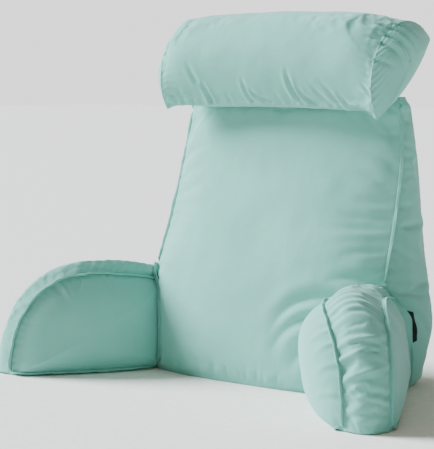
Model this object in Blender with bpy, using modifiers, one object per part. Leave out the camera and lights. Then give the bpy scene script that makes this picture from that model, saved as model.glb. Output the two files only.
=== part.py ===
"""Backrest pillow: a wedge-shaped back cushion, two D-shaped arms and a bolster headrest.

Metres, +Z up. The sitter faces -Y and +X is at the right hand of a viewer in front.
The underside of the back and of both arms is flat and lies at z = 0.
"""
import math
from collections import namedtuple

import bmesh
import bpy
from mathutils import Vector
from mathutils.bvhtree import BVHTree

# Whole part
PART_NAME = "backrest_pillow"
CENTRE_X = 0.0041           # middle of the whole part, from the middle of the back's
CENTRE_Y = -0.0101          # straight front bottom edge, where the sizes below start
CUTTER_GROWTH = 0.0006      # clearance of a piece to the piece that it is sewn to

# Back cushion
BACK_HEIGHT = 0.528
CORNER_LIFT = 0.011         # how far the top corners point up past the ridge
CORNER_RISE_POWER = 6       # how late in the height the lift sets in
CORNER_REACH_POWER = 8      # how near to the corners it stays
BACK_CORE = (0.0, 0.12, 0.20)      # a point inside, from which the flanges point away
BACK_ROWS = 12
FRONT_STEPS = 16
SIDE_STEPS = 4
REAR_STEPS = 8
BackSection = namedtuple(
    "BackSection", "height half_width front_y rear_y front_crown rear_crown side_bulge")
BACK_SECTIONS = (
    BackSection(0.00, 0.245, 0.000, 0.211, 0.036, 0.008, 0.032),
    BackSection(0.07, 0.258, 0.017, 0.208, 0.044, 0.022, 0.040),
    BackSection(0.13, 0.268, 0.032, 0.202, 0.049, 0.028, 0.040),
    BackSection(0.20, 0.272, 0.050, 0.194, 0.050, 0.028, 0.018),
    BackSection(0.30, 0.268, 0.086, 0.184, 0.046, 0.024, 0.010),
    BackSection(0.42, 0.262, 0.119, 0.174, 0.036, 0.018, 0.006),
    BackSection(0.53, 0.248, 0.137, 0.166, 0.018, 0.008, 0.002),
)

# Folds pressed into the front panel beside the right arm
FrontFold = namedtuple("FrontFold", "start_x start_z end_x end_z width depth")
FRONT_FOLDS = (
    FrontFold(0.172, 0.185, 0.060, 0.090, 0.022, 0.009),
    FrontFold(0.185, 0.150, 0.100, 0.060, 0.020, 0.007),
)

# Arms: places on the floor plan, from the back's front bottom edge, at the right arm
ARM_SEAM_HEIGHT = 0.191
ARM_ROOT_HEIGHT = 0.172
ARM_ARC_START = 0.50        # share of the length where the top turns down to the tip
ARM_ARC_POWER = 2.2
ARM_EMBED = 0.09            # share of the length that runs into the back before it is cut
ARM_TIP_INNER = (0.397, -0.242)
ARM_ROOT_INNER_LOW = (0.238, 0.004)
ARM_ROOT_INNER_TOP = (0.272, 0.046)
ARM_ROOT_OUTER_LOW = (0.270, 0.114)
ARM_ROOT_OUTER_TOP = (0.274, 0.090)
ARM_PANEL_CENTRE = (0.46, 0.44)   # share of the length, share of the seam height
ARM_PANEL_RINGS = (0.35, 0.68, 0.90)
ARM_BAND_STEPS = 20
ARM_FLOOR_STEPS = 6
ARM_ROOT_STEPS = 3
ARM_FLANGE_START = 3        # band step where the arm's own flanges start, clear of the back
ARM_FLANGE_END = 0.75       # share of the tip's last stretch that they cover, above the floor
ARM_CORE = (0.5, 0.08)      # share of the length and height of a point inside the arm
ARM_PANEL_DOME = (2.0, 0.62)       # power and fullness of a side panel's bulge
BAND_LINES = (-0.5, 0.0, 0.5)      # lines of the band between its inner and its outer seam
ArmForm = namedtuple(
    "ArmForm", "name side tip_outer inner_bulge outer_bulge inner_bow outer_bow foot_bow crown")
ARM_FORMS = (
    ArmForm("arm_left", -1, (0.448, -0.200), 0.056, 0.050, 0.018, 0.000, 0.022, 0.024),
    ArmForm("arm_right", 1, (0.456, -0.196), 0.084, 0.030, 0.064, 0.018, 0.000, 0.024),
)
ARM_ACROSS = (0.857, 0.515)        # plan direction from the inner panel to the outer one
ROOT_LEAN_POWER = 1.5       # how the slanting root passes from its low place to its top one
BOW_LENGTH_POWER = 0.6      # fullness of a lean along the arm
BOW_HEIGHT_POWER = 1.7      # how near to the top, or to the floor, a lean stays
GATHER_DEPTH = 0.0022       # uneven depth of the band's cross gathers
GATHER_RATES = (2.4, 1.1)   # two unlike rhythms of them, in radians a band step

# Headrest bolster: its leaf section from the front bottom seam to the rear top seam
HEAD_FRONT_SEAM = (0.056, 0.515)
HEAD_REAR_SEAM = (0.220, 0.650)
HEAD_AROUND_FRONT = 11
HEAD_AROUND_UNDER = 5
HEAD_HALF_LENGTH = 0.253
HeadStation = namedtuple("HeadStation", "share dome under seam_drop")
HEAD_STATIONS = (
    HeadStation(-1.00, 0.096, 0.012, 0.002),
    HeadStation(-0.92, 0.112, 0.030, -0.004),
    HeadStation(-0.78, 0.121, 0.046, -0.006),
    HeadStation(-0.50, 0.125, 0.054, -0.009),
    HeadStation(0.00, 0.124, 0.055, -0.010),
    HeadStation(0.50, 0.120, 0.054, -0.006),
    HeadStation(0.78, 0.117, 0.046, 0.000),
    HeadStation(0.92, 0.108, 0.030, 0.008),
    HeadStation(1.00, 0.096, 0.014, 0.015),
)
HEAD_STEPS = 26
HEAD_END_RINGS = (0.90, 0.66, 0.34)
HEAD_END_BULGE = 0.041
HEAD_END_DOME = (2.0, 0.7)  # power and fullness of an end panel's bulge
HeadFold = namedtuple("HeadFold", "low_x high_x reach width depth")
HEAD_FOLDS = (
    HeadFold(-0.140, -0.178, 0.42, 0.017, 0.023),
    HeadFold(-0.050, -0.078, 0.40, 0.017, 0.017),
    HeadFold(0.062, 0.030, 0.44, 0.017, 0.021),
    HeadFold(0.112, 0.078, 0.36, 0.016, 0.018),
    HeadFold(0.160, 0.122, 0.34, 0.016, 0.018),
    HeadFold(0.206, 0.176, 0.26, 0.014, 0.013),
)
HEAD_FOLD_SPAN = (0.12, 1.40)      # fading in below and out above a fold, in shares of its reach
HEAD_FOLD_CURVE = 1.3       # how a fold's line turns as it climbs
HEAD_FOLD_FULLNESS = 0.7

# Raised seams: flat flanges that stand outward from the sewn edges
FLANGE_HEIGHT = 0.0075
ROOT_FLANGE_HEIGHT = 0.0095
FLANGE_THICKNESS = 0.0022
FLANGE_LIFT = 0.0008        # clearance below a flange, before the valley it stands in
FLANGE_FLOOR_GAP = 0.004
ROOT_FLANGE_STEP = 0.012
ROOT_FLANGE_LIFT = 0.0016   # more, because this corner's line is an average
ROOT_FLANGE_EASING = 3
ROOT_FLANGE_FOOT = 0.018    # height where the root flanges end above the floor
BACK_FLANGE_LOW = 0.209     # height where the back's front flanges start, above the arms

# Blank side label, sewn into the right arm's outer root seam
LABEL_LOW = 0.090
LABEL_TOP = 0.156
LABEL_HEIGHT = 0.0125
LABEL_THICKNESS = 0.0014
LABEL_GAP = 0.0004
LABEL_MIN_Y = 0.07          # the seam behind the arm, not the one in front of it

# Cover and label colours
MINT = (0.36, 0.62, 0.56, 1.0)
BLACK = (0.012, 0.012, 0.014, 1.0)


def read_row(rows, key, value, field):
    """Smooth value of one column of a table at a place along its key column."""
    keys = [getattr(row, key) for row in rows]
    values = [getattr(row, field) for row in rows]
    value = min(max(value, keys[0]), keys[-1])
    last = len(keys) - 1
    at = max(i for i in range(last) if keys[i] <= value)
    span = keys[at + 1] - keys[at]
    part = (value - keys[at]) / span

    def slope(i):
        low, high = max(i - 1, 0), min(i + 1, last)
        return (values[high] - values[low]) / (keys[high] - keys[low])

    square, cube = part ** 2, part ** 3
    return (values[at] * (2 * cube - 3 * square + 1) + values[at + 1] * (3 * square - 2 * cube)
            + span * slope(at) * (cube - 2 * square + part) + span * slope(at + 1) * (cube - square))


def dome(share, power=2.4, fullness=0.8):
    """Height of a filled panel, 1 in its middle and 0 at its sewn edge."""
    return max(0.0, 1.0 - abs(share) ** power) ** fullness


def trough(distance, width):
    """Cross profile of a soft fold, 1 on its line and 0 away from it."""
    return math.exp(-(distance / width) ** 2)


def spread(start, stop, steps):
    """Even values from start to stop, both ends included."""
    return [start + (stop - start) * i / steps for i in range(steps + 1)]


def material(name, colour, roughness):
    """A plain Principled material."""
    made = bpy.data.materials.new(name)
    made.use_nodes = True
    shader = made.node_tree.nodes["Principled BSDF"]
    shader.inputs["Base Color"].default_value = colour
    shader.inputs["Roughness"].default_value = roughness
    shader.inputs["Metallic"].default_value = 0.0
    return made


def place_object(name, mesh, collection, colour, roughness=0.9):
    """Put a finished mesh in its collection with a material of its own."""
    made = bpy.data.objects.new(name, mesh)
    collection.objects.link(made)
    mesh.materials.append(material(name + "_cloth", colour, roughness))
    mesh.shade_smooth()
    mesh.set_sharp_from_angle(angle=math.radians(40))
    return made


def loft_rings(name, rings, creases):
    """Closed cage through rings of equal length, capped at both ends.

    creases tells whether the edge between two (ring, place) pairs is a sewn or resting edge.
    """
    form = bmesh.new()
    rows = [[form.verts.new(point) for point in ring] for ring in rings]
    count = len(rows[0])
    for r in range(len(rows) - 1):
        for i in range(count):
            j = (i + 1) % count
            form.faces.new((rows[r][i], rows[r][j], rows[r + 1][j], rows[r + 1][i]))
    form.faces.new(rows[0][::-1])
    form.faces.new(rows[-1])
    form.normal_update()
    bmesh.ops.recalc_face_normals(form, faces=form.faces)
    crease = form.edges.layers.float.new("crease_edge")
    address = {vert: (r, i) for r, row in enumerate(rows) for i, vert in enumerate(row)}
    for edge in form.edges:
        first, second = (address[vert] for vert in edge.verts)
        if creases(first, second):
            edge[crease] = 1.0
    mesh = bpy.data.meshes.new(name)
    form.to_mesh(mesh)
    form.free()
    return mesh


def soften(target):
    """One level of subdivision, with its faces split the same way wherever they are read."""
    smooth = target.modifiers.new("soft form", "SUBSURF")
    smooth.levels = 1
    smooth.render_levels = 1
    target.modifiers.new("flat faces", "TRIANGULATE")


def refined(path):
    """A sewn edge after one subdivision: corners eased, and a point added on each stretch."""
    eased = [path[0]]
    for behind, here, ahead in zip(path, path[1:], path[2:]):
        eased.append(behind / 8 + here * 0.75 + ahead / 8)
    eased.append(path[-1])
    finer = []
    for i, here in enumerate(path[:-1]):
        finer += [eased[i], (here + path[i + 1]) / 2]
    return finer + [eased[-1]]


def tangents(path):
    last = len(path) - 1
    return [(path[min(i + 1, last)] - path[max(i - 1, 0)]).normalized() for i in range(last + 1)]


def flange_mesh(name, path, outwards, lifts, height, thickness, shift=0.0):
    """A flat strip that stands on a path: one section for each point of it."""
    rings = []
    for point, along, outward, lift in zip(path, tangents(path), outwards, lifts):
        across = along.cross(outward).normalized()
        rise = across.cross(along).normalized()
        foot = point + rise * lift + across * shift
        half = across * thickness / 2
        rings.append([foot - half, foot + half, foot + half + rise * height, foot - half + rise * height])
    return loft_rings(name, rings, lambda first, second: False)


def seam_flange(name, seam, left, right, core, collection):
    """A flange on a sewn edge, square to the line between the cloth on its two sides."""
    outwards = []
    for point, along, one, other in zip(seam, tangents(seam), left, right):
        across = (one - point).normalized() - (other - point).normalized()
        outward = along.cross(across).normalized()
        outwards.append(outward if outward.dot(point - core) > 0 else -outward)
    finer = refined(outwards)
    mesh = flange_mesh(name, refined(seam), finer, [FLANGE_LIFT] * len(finer),
                       FLANGE_HEIGHT, FLANGE_THICKNESS)
    return place_object(name, mesh, collection, MINT)


# Back cushion
def back_size(field, z):
    return read_row(BACK_SECTIONS, "height", z, field)


def front_fold_depth(x, z):
    """How far the folds beside the right arm press the front panel in."""
    total = 0.0
    for fold in FRONT_FOLDS:
        start = Vector((fold.start_x, fold.start_z))
        run = Vector((fold.end_x, fold.end_z)) - start
        along = (Vector((x, z)) - start).dot(run) / run.length_squared
        inside = min(max(along, 0.0), 1.0)
        away = (Vector((x, z)) - start - run * inside).length
        total += fold.depth * trough(away, fold.width)
    return total


def back_ring(z):
    """Outline of the back cushion at one height: front, right side, rear, left side."""
    half = back_size("half_width", z)
    front = back_size("front_y", z)
    rear = back_size("rear_y", z)
    bulge = back_size("side_bulge", z)
    corner = CORNER_LIFT * (z / BACK_HEIGHT) ** CORNER_RISE_POWER
    ring = []
    for u in spread(-1, 1, FRONT_STEPS):
        crown = back_size("front_crown", z) * dome(u) - front_fold_depth(half * u, z)
        ring.append(Vector((half * u, front - crown, z + corner * abs(u) ** CORNER_REACH_POWER)))
    for v in spread(-1, 1, SIDE_STEPS)[1:-1]:
        ring.append(Vector((half + bulge * dome(v), front + (rear - front) * (v + 1) / 2, z + corner)))
    for u in spread(1, -1, REAR_STEPS):
        y = rear + back_size("rear_crown", z) * dome(u)
        ring.append(Vector((half * u, y, z + corner * abs(u) ** CORNER_REACH_POWER)))
    for v in spread(1, -1, SIDE_STEPS)[1:-1]:
        ring.append(Vector((-half - bulge * dome(v), front + (rear - front) * (v + 1) / 2, z + corner)))
    return ring


def make_back(collection):
    rings = [back_ring(z) for z in spread(0, BACK_HEIGHT, BACK_ROWS)]
    right = FRONT_STEPS
    rear_right = right + SIDE_STEPS
    rear_left = rear_right + REAR_STEPS
    corners = {0, right, rear_right, rear_left}

    def creases(first, second):
        level = first[0] == second[0] and first[0] in (0, BACK_ROWS)
        return level or (first[1] == second[1] and first[1] in corners)

    made = place_object("back_cushion", loft_rings("back_cushion", rings, creases), collection, MINT)
    soften(made)
    rows = [back_ring(BACK_FLANGE_LOW)]
    rows += [ring for ring in rings if ring[0].z > BACK_FLANGE_LOW + FLANGE_HEIGHT]
    for side, place in (("left", 0), ("right", right)):
        seam, before, after = ([ring[place + step] for ring in rows] for step in (0, -1, 1))
        seam_flange("back_seam_" + side, seam, before, after, Vector(BACK_CORE), collection)
    return made


# Arms
def arm_outline():
    """The side panel's D, from the root's foot over the top to the tip, as (share, height)."""
    root = [(-ARM_EMBED, ARM_ROOT_HEIGHT * h) for h in spread(0, 1, ARM_ROOT_STEPS)]
    path = []
    flat_steps = ARM_BAND_STEPS // 2 - 2
    for share in spread(-ARM_EMBED, ARM_ARC_START, flat_steps)[1:]:
        rise = math.sin(0.5 * math.pi * max(share, 0.0) / ARM_ARC_START)
        path.append((share, ARM_ROOT_HEIGHT + (ARM_SEAM_HEIGHT - ARM_ROOT_HEIGHT) * rise))
    turn = 2.0 / ARM_ARC_POWER
    for angle in spread(0, 0.5 * math.pi, ARM_BAND_STEPS - flat_steps)[1:]:
        share = ARM_ARC_START + (1 - ARM_ARC_START) * math.sin(angle) ** turn
        path.append((share, ARM_SEAM_HEIGHT * max(math.cos(angle), 0.0) ** turn))
    path[-1] = (1.0, 0.0)
    floor = [(share, 0.0) for share in spread(1, -ARM_EMBED, ARM_FLOOR_STEPS)[1:-1]]
    return root + path + floor


def panel_point(share, height, root_low, root_top, tip, side):
    """A point of a ruled side panel between the slanting root and the upright tip."""
    lean = min(max(height / ARM_ROOT_HEIGHT, 0.0), 1.0)
    root = Vector(root_low).lerp(Vector(root_top), lean ** ROOT_LEAN_POWER)
    plan = root + (Vector(tip) - root) * share
    return Vector((side * plan.x, plan.y, height))


def bowed(arm, point, share, height, bow, foot_bow=0.0):
    """Lean a point of the arm towards the sitter, most at the middle of the top or the foot."""
    middle = math.sin(math.pi * min(max(share, 0.0), 1.0)) ** BOW_LENGTH_POWER
    level = min(max(height / ARM_SEAM_HEIGHT, 0.0), 1.0)
    lean = middle * (bow * level ** BOW_HEIGHT_POWER + foot_bow * (1 - level) ** BOW_HEIGHT_POWER)
    return point + Vector((-arm.side * lean * ARM_ACROSS[0], -lean * ARM_ACROSS[1], 0))


def inner_point(arm, share, height):
    point = panel_point(share, height, ARM_ROOT_INNER_LOW, ARM_ROOT_INNER_TOP, ARM_TIP_INNER, arm.side)
    return bowed(arm, point, share, height, arm.inner_bow, arm.foot_bow)


def outer_point(arm, share, height):
    point = panel_point(share, height, ARM_ROOT_OUTER_LOW, ARM_ROOT_OUTER_TOP, arm.tip_outer, arm.side)
    return bowed(arm, point, share, height, arm.outer_bow)


def puffed_ring(arm, outline, point_at, scale, bulge):
    """A ring of a side panel: its outline drawn towards the centre and pushed outward."""
    centre = (ARM_PANEL_CENTRE[0], ARM_PANEL_CENTRE[1] * ARM_SEAM_HEIGHT)
    length = point_at(arm, 1.0, 0.0) - point_at(arm, 0.0, 0.0)
    outward = Vector((length.y, -length.x, 0)).normalized() * arm.side
    ring = []
    for share, height in outline:
        spot = (centre[0] + (share - centre[0]) * scale, centre[1] + (height - centre[1]) * scale)
        ring.append(point_at(arm, *spot) + outward * bulge * dome(scale, *ARM_PANEL_DOME))
    return ring


def arm_rings(arm):
    """Rings across the arm, from the middle of the inner panel to that of the outer one."""
    outline = arm_outline()
    inner = [inner_point(arm, *spot) for spot in outline]
    outer = [outer_point(arm, *spot) for spot in outline]
    rings = [puffed_ring(arm, outline, inner_point, k, arm.inner_bulge) for k in ARM_PANEL_RINGS]
    rings.append(inner)
    for t in BAND_LINES:
        rings.append(band_ring(arm, inner, outer, t))
    rings.append(outer)
    rings += [puffed_ring(arm, outline, outer_point, k, -arm.outer_bulge)
              for k in reversed(ARM_PANEL_RINGS)]
    return rings


def band_ring(arm, inner, outer, t):
    """A line along the band, raised between its two seams and gathered across."""
    count = len(inner)
    first = ARM_ROOT_STEPS
    last = ARM_ROOT_STEPS + ARM_BAND_STEPS
    across = (t + 1) / 2
    ring = []
    for i in range(count):
        point = inner[i].lerp(outer[i], across)
        if first <= i < last:
            ahead = inner[i + 1].lerp(outer[i + 1], across)
            behind = inner[i - 1].lerp(outer[i - 1], across)
            side = (outer[i] - inner[i]).normalized()
            outward = (ahead - behind).normalized().cross(side).normalized() * arm.side
            gather = GATHER_DEPTH * math.sin(GATHER_RATES[0] * i) * math.sin(GATHER_RATES[1] * i + 1)
            point = point + outward * (arm.crown + gather) * (1 - t * t)
        ring.append(point)
    return ring


def make_arm(arm, collection):
    rings = arm_rings(arm)
    count = len(rings[0])
    seams = (len(ARM_PANEL_RINGS), len(rings) - 1 - len(ARM_PANEL_RINGS))
    feet = (0, ARM_ROOT_STEPS + ARM_BAND_STEPS)
    resting = set(feet) | set(range(feet[1], count))

    def creases(first, second):
        if first[0] == second[0]:
            return first[0] in seams
        between = min(first[0], second[0]) >= seams[0] and max(first[0], second[0]) <= seams[1]
        return between and first[1] == second[1] and first[1] in feet

    for ring in rings[seams[0]:seams[1] + 1]:
        for i in resting:
            ring[i].z = 0.0
    made = place_object(arm.name, loft_rings(arm.name, rings, creases), collection, MINT)
    soften(made)
    core = inner_point(arm, *ARM_CORE).lerp(outer_point(arm, *ARM_CORE), 0.5)
    span = slice(ARM_ROOT_STEPS + ARM_FLANGE_START, feet[1] + 1)
    for place, row in (("inner", seams[0]), ("outer", seams[1])):
        seam, before, after = ([point.copy() for point in rings[row + step][span]] for step in (0, -1, 1))
        for line in (seam, before, after):
            line[-1] = line[-2].lerp(line[-1], ARM_FLANGE_END)
        seam_flange(arm.name + "_seam_" + place, seam, before, after, core, collection)
    return made


# Headrest
def head_size(field, share):
    return read_row(HEAD_STATIONS, "share", share, field)


def head_fold_depth(x, around):
    """How far the drag folds press in above the front bottom seam."""
    total = 0.0
    below, above = HEAD_FOLD_SPAN
    for fold in HEAD_FOLDS:
        reach = around / fold.reach
        if reach < above:
            line = fold.low_x + (fold.high_x - fold.low_x) * reach ** HEAD_FOLD_CURVE
            fade = math.sin(math.pi * (reach + below) / (above + below)) ** HEAD_FOLD_FULLNESS
            total += fold.depth * fade * trough(x - line, fold.width)
    return total


def head_section(share):
    """Leaf section: over the front and top, then back along the underside."""
    drop = head_size("seam_drop", share)
    front = Vector((HEAD_FRONT_SEAM[0], HEAD_FRONT_SEAM[1] - drop))
    rear = Vector((HEAD_REAR_SEAM[0], HEAD_REAR_SEAM[1]))
    middle = (front + rear) / 2
    chord = (rear - front) / 2
    rise = Vector((-chord.y, chord.x)).normalized()
    x = HEAD_HALF_LENGTH * share
    ring = []
    for angle in spread(math.pi, 0, HEAD_AROUND_FRONT):
        around = (math.pi - angle) / math.pi
        dome_height = head_size("dome", share) - head_fold_depth(x, around)
        spot = middle + chord * math.cos(angle) + rise * dome_height * math.sin(angle)
        ring.append(Vector((x, spot.x, spot.y)))
    for u in spread(1, -1, HEAD_AROUND_UNDER)[1:-1]:
        spot = middle + chord * u - rise * head_size("under", share) * (1 - u * u)
        ring.append(Vector((x, spot.x, spot.y)))
    return ring


def head_end_ring(ring, side, scale):
    """A ring of an end panel, drawn towards its centre and pushed outward."""
    centre = sum(ring, Vector()) / len(ring)
    push = Vector((side * HEAD_END_BULGE * dome(scale, *HEAD_END_DOME), 0, 0))
    return [centre + (point - centre) * scale + push for point in ring]


def make_headrest(collection):
    body = [head_section(share) for share in spread(-1, 1, HEAD_STEPS)]
    left = [head_end_ring(body[0], -1, k) for k in reversed(HEAD_END_RINGS)]
    right = [head_end_ring(body[-1], 1, k) for k in HEAD_END_RINGS]
    rings = left + body + right
    ends = (len(left), len(left) + HEAD_STEPS)
    long_seams = (0, HEAD_AROUND_FRONT)

    def creases(first, second):
        if first[0] == second[0]:
            return first[0] in ends
        inside = ends[0] <= first[0] <= ends[1] and ends[0] <= second[0] <= ends[1]
        return inside and first[1] == second[1] and first[1] in long_seams

    made = place_object("headrest", loft_rings("headrest", rings, creases), collection, MINT)
    soften(made)
    return made


# Pieces seated on each other
def grown_cutter(source, cutters):
    """A hidden copy of a piece, grown by the seat clearance."""
    graph = bpy.context.evaluated_depsgraph_get()
    mesh = bpy.data.meshes.new_from_object(source.evaluated_get(graph))
    cutter = bpy.data.objects.new(source.name + "_cutter", mesh)
    cutters.objects.link(cutter)
    grow = cutter.modifiers.new("clearance", "DISPLACE")
    grow.strength = CUTTER_GROWTH
    grow.mid_level = 0.0
    cutter.hide_render = True
    cutter.display_type = "WIRE"
    return cutter


def seat(target, cutter):
    """Cut a piece so that it rests against another one."""
    cut = target.modifiers.new("seat", "BOOLEAN")
    cut.operation = "DIFFERENCE"
    cut.object = cutter
    cut.solver = "EXACT"


def root_line(arm, back_tree):
    """Where an arm meets the back, from the front foot over the top to the rear foot.

    Each stretch is a middle point and the outward directions of the arm and of the back there.
    """
    graph = bpy.context.evaluated_depsgraph_get()
    form = bmesh.new()
    form.from_mesh(arm.evaluated_get(graph).to_mesh())

    def seated(face):
        return all(back_tree.find_nearest(vert.co)[3] < 2 * CUTTER_GROWTH for vert in face.verts)

    on_back = {face.index for face in form.faces if seated(face)}
    links = {}
    for edge in form.edges:
        own = [face for face in edge.link_faces if face.index not in on_back]
        if len(own) == 1 and max(vert.co.z for vert in edge.verts) > FLANGE_FLOOR_GAP:
            for one, other in (edge.verts, reversed(edge.verts)):
                links.setdefault(one, []).append((other, own[0].normal.copy()))
    here = min((vert for vert in links if len(links[vert]) == 1), key=lambda vert: vert.co.y)
    seen = {here}
    stretches = []
    onward = links[here]
    while onward:
        ahead, normal = onward[0]
        middle = (here.co + ahead.co) / 2
        stretches.append((middle, normal, back_tree.find_nearest(middle)[1]))
        here = ahead
        seen.add(here)
        onward = [link for link in links[here] if link[0] not in seen]
    form.free()
    return stretches


def evened(stretches, step):
    """The line's points and directions, averaged over windows of an even length."""
    groups = [[stretches[0]]]
    for stretch in stretches[1:]:
        if (stretch[0] - groups[-1][0][0]).length > step:
            groups.append([])
        groups[-1].append(stretch)
    return [tuple(sum((item[k] for item in group), Vector()) / len(group) for k in range(3))
            for group in groups]


def corner_of(line):
    """Path, outward directions and slopes of the corner between an arm and the back."""
    path = [point for point, arm_normal, back_normal in line]
    facing = [(arm_normal.normalized() + back_normal.normalized()).normalized()
              for point, arm_normal, back_normal in line]
    slopes = [math.tan(outward.angle(back_normal))
              for outward, (point, arm_normal, back_normal) in zip(facing, line)]
    last = len(line) - 1
    for _ in range(ROOT_FLANGE_EASING):
        facing = [(facing[max(i - 1, 0)] + facing[i] * 2 + facing[min(i + 1, last)]).normalized()
                  for i in range(last + 1)]
    return path, facing, slopes


def make_root_flange(name, line, collection):
    """The flange that stands in the corner between an arm and the back."""
    path, outwards, slopes = corner_of(line)
    lifts = [FLANGE_THICKNESS / 2 * slope + ROOT_FLANGE_LIFT for slope in slopes]
    mesh = flange_mesh(name, path, outwards, lifts, ROOT_FLANGE_HEIGHT, FLANGE_THICKNESS)
    return place_object(name, mesh, collection, MINT)


def make_label(line, collection):
    """The blank label against the front face of the right arm's root flange."""
    rear = [stretch for stretch in line if stretch[0].y > LABEL_MIN_Y]
    marked = [stretch for stretch in rear if LABEL_LOW < stretch[0].z < LABEL_TOP]
    path, outwards, slopes = corner_of(marked)
    shift = (FLANGE_THICKNESS + LABEL_THICKNESS) / 2 + LABEL_GAP
    lifts = [shift * slope + ROOT_FLANGE_LIFT for slope in slopes]
    mesh = flange_mesh("side_label", path, outwards, lifts, LABEL_HEIGHT, LABEL_THICKNESS, shift)
    return place_object("side_label", mesh, collection, BLACK, roughness=0.6)


def new_collection(name):
    made = bpy.data.collections.new(name)
    bpy.context.scene.collection.children.link(made)
    return made


def centre_part(collections, part):
    """Parent every piece and cutter to one empty that centres the part on the origin."""
    frame = bpy.data.objects.new(PART_NAME + "_frame", None)
    part.objects.link(frame)
    frame.location = (-CENTRE_X, -CENTRE_Y, 0)
    for collection in collections:
        for piece in collection.objects:
            if piece is not frame:
                piece.parent = frame


def main():
    for leftover in list(bpy.data.objects):
        bpy.data.objects.remove(leftover)
    part = new_collection(PART_NAME)
    cutters = new_collection(PART_NAME + "_cutters")
    back = make_back(part)
    arms = [make_arm(arm, part) for arm in ARM_FORMS]
    headrest = make_headrest(part)
    back_cutter = grown_cutter(back, cutters)
    for soft in arms + [headrest]:
        seat(soft, back_cutter)
    back_tree = BVHTree.FromObject(back, bpy.context.evaluated_depsgraph_get())
    for arm in arms:
        whole = evened(root_line(arm, back_tree), ROOT_FLANGE_STEP)
        line = [stretch for stretch in whole if stretch[0].z > ROOT_FLANGE_FOOT]
        flange = make_root_flange(arm.name + "_seam_root", line, part)
        seat(flange, grown_cutter(arm, cutters))
        seat(flange, back_cutter)
        if arm.name == "arm_right":
            make_label(line, part)
    centre_part((part, cutters), part)


main()
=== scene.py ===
"""Backrest pillow: its padded covers, raised seams, stitches and side label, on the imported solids.

Metres, +Z up, the sitter faces -Y. Every piece is made in place, in the frame of the solids.
"""
import itertools
import math
from collections import namedtuple

import bmesh
import bpy
import numpy as np
from bpy.props import FloatProperty, FloatVectorProperty, IntProperty, PointerProperty
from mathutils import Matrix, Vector
from mathutils.bvhtree import BVHTree


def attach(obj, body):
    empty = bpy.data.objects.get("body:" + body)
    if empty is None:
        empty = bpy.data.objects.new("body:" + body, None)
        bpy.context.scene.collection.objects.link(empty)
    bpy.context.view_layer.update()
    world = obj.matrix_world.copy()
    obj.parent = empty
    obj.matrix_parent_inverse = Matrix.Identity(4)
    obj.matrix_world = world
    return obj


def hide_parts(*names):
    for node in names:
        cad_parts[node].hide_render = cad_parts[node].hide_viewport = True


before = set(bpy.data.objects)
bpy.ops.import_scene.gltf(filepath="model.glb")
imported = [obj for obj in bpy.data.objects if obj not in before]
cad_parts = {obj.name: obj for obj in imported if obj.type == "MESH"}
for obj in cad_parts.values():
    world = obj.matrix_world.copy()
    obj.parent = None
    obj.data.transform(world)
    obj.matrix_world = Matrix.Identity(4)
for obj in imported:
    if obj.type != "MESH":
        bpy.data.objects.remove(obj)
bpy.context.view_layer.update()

bl_info = {
    "name": "Backrest Pillow",
    "version": (1, 0, 0),
    "blender": (4, 5, 0),
    "location": "View3D > Sidebar > Backrest Pillow",
    "description": "Makes the padded covers, raised seams and stage of a backrest pillow",
    "category": "Object",
}

# The back's straight front bottom edge lies here; every table below is measured from it
PLACE = np.array((-0.0041, 0.0101, 0.0))

# Back cushion
BACK_HEIGHT = 0.528
CORNER_LIFT = 0.011
BackSection = namedtuple(
    "BackSection", "height half_width front_y rear_y front_crown rear_crown side_bulge")
BACK_SECTIONS = (
    BackSection(0.00, 0.245, 0.000, 0.211, 0.036, 0.008, 0.032),
    BackSection(0.07, 0.258, 0.017, 0.208, 0.044, 0.022, 0.040),
    BackSection(0.13, 0.268, 0.032, 0.202, 0.049, 0.028, 0.040),
    BackSection(0.20, 0.272, 0.050, 0.194, 0.050, 0.028, 0.018),
    BackSection(0.30, 0.268, 0.086, 0.184, 0.046, 0.024, 0.010),
    BackSection(0.42, 0.262, 0.119, 0.174, 0.036, 0.018, 0.006),
    BackSection(0.53, 0.248, 0.137, 0.166, 0.018, 0.008, 0.002),
)
BACK_ROWS = 156             # even, so that the settling cloth can take every second row
BACK_ACROSS = 150
BACK_DEPTH = 44
BACK_FOOT_ROUND = 0.007     # how far the cloth draws in where it rolls onto the floor
BACK_FOOT_RISE = 0.016
BACK_TOP_ROUND = 0.008      # the same where the gussets turn over to the ridge under the headrest
BACK_TOP_RISE = 0.026

# Arms: places on the floor plan, at the right arm
ARM_SEAM_HEIGHT = 0.191
ARM_ROOT_HEIGHT = 0.172
ARM_ARC_START = 0.50
ARM_ARC_POWER = 2.2
ARM_EMBED = 0.09
ARM_TIP_INNER = (0.397, -0.242)
ARM_ROOT_INNER_LOW = (0.238, 0.004)
ARM_ROOT_INNER_TOP = (0.272, 0.046)
ARM_ROOT_OUTER_LOW = (0.270, 0.114)
ARM_ROOT_OUTER_TOP = (0.274, 0.090)
ARM_PANEL_CENTRE = (0.46, 0.44)
ARM_ACROSS = (0.857, 0.515)
ArmForm = namedtuple(
    "ArmForm", "name side tip_outer inner_bulge outer_bulge inner_bow outer_bow foot_bow crown")
ARM_FORMS = (
    ArmForm("arm_left", -1, (0.448, -0.200), 0.050, 0.050, 0.018, 0.000, 0.022, 0.024),
    ArmForm("arm_right", 1, (0.456, -0.196), 0.084, 0.030, 0.064, 0.018, 0.000, 0.024),
)
ARM_ROOT_STEPS = 50         # points along the four stretches of an arm's outline
ARM_TOP_STEPS = 84
ARM_ARC_STEPS = 146
ARM_FLOOR_STEPS = 100
ARM_BAND_STEPS = 48
ARM_PANEL_STEPS = 42

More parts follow.
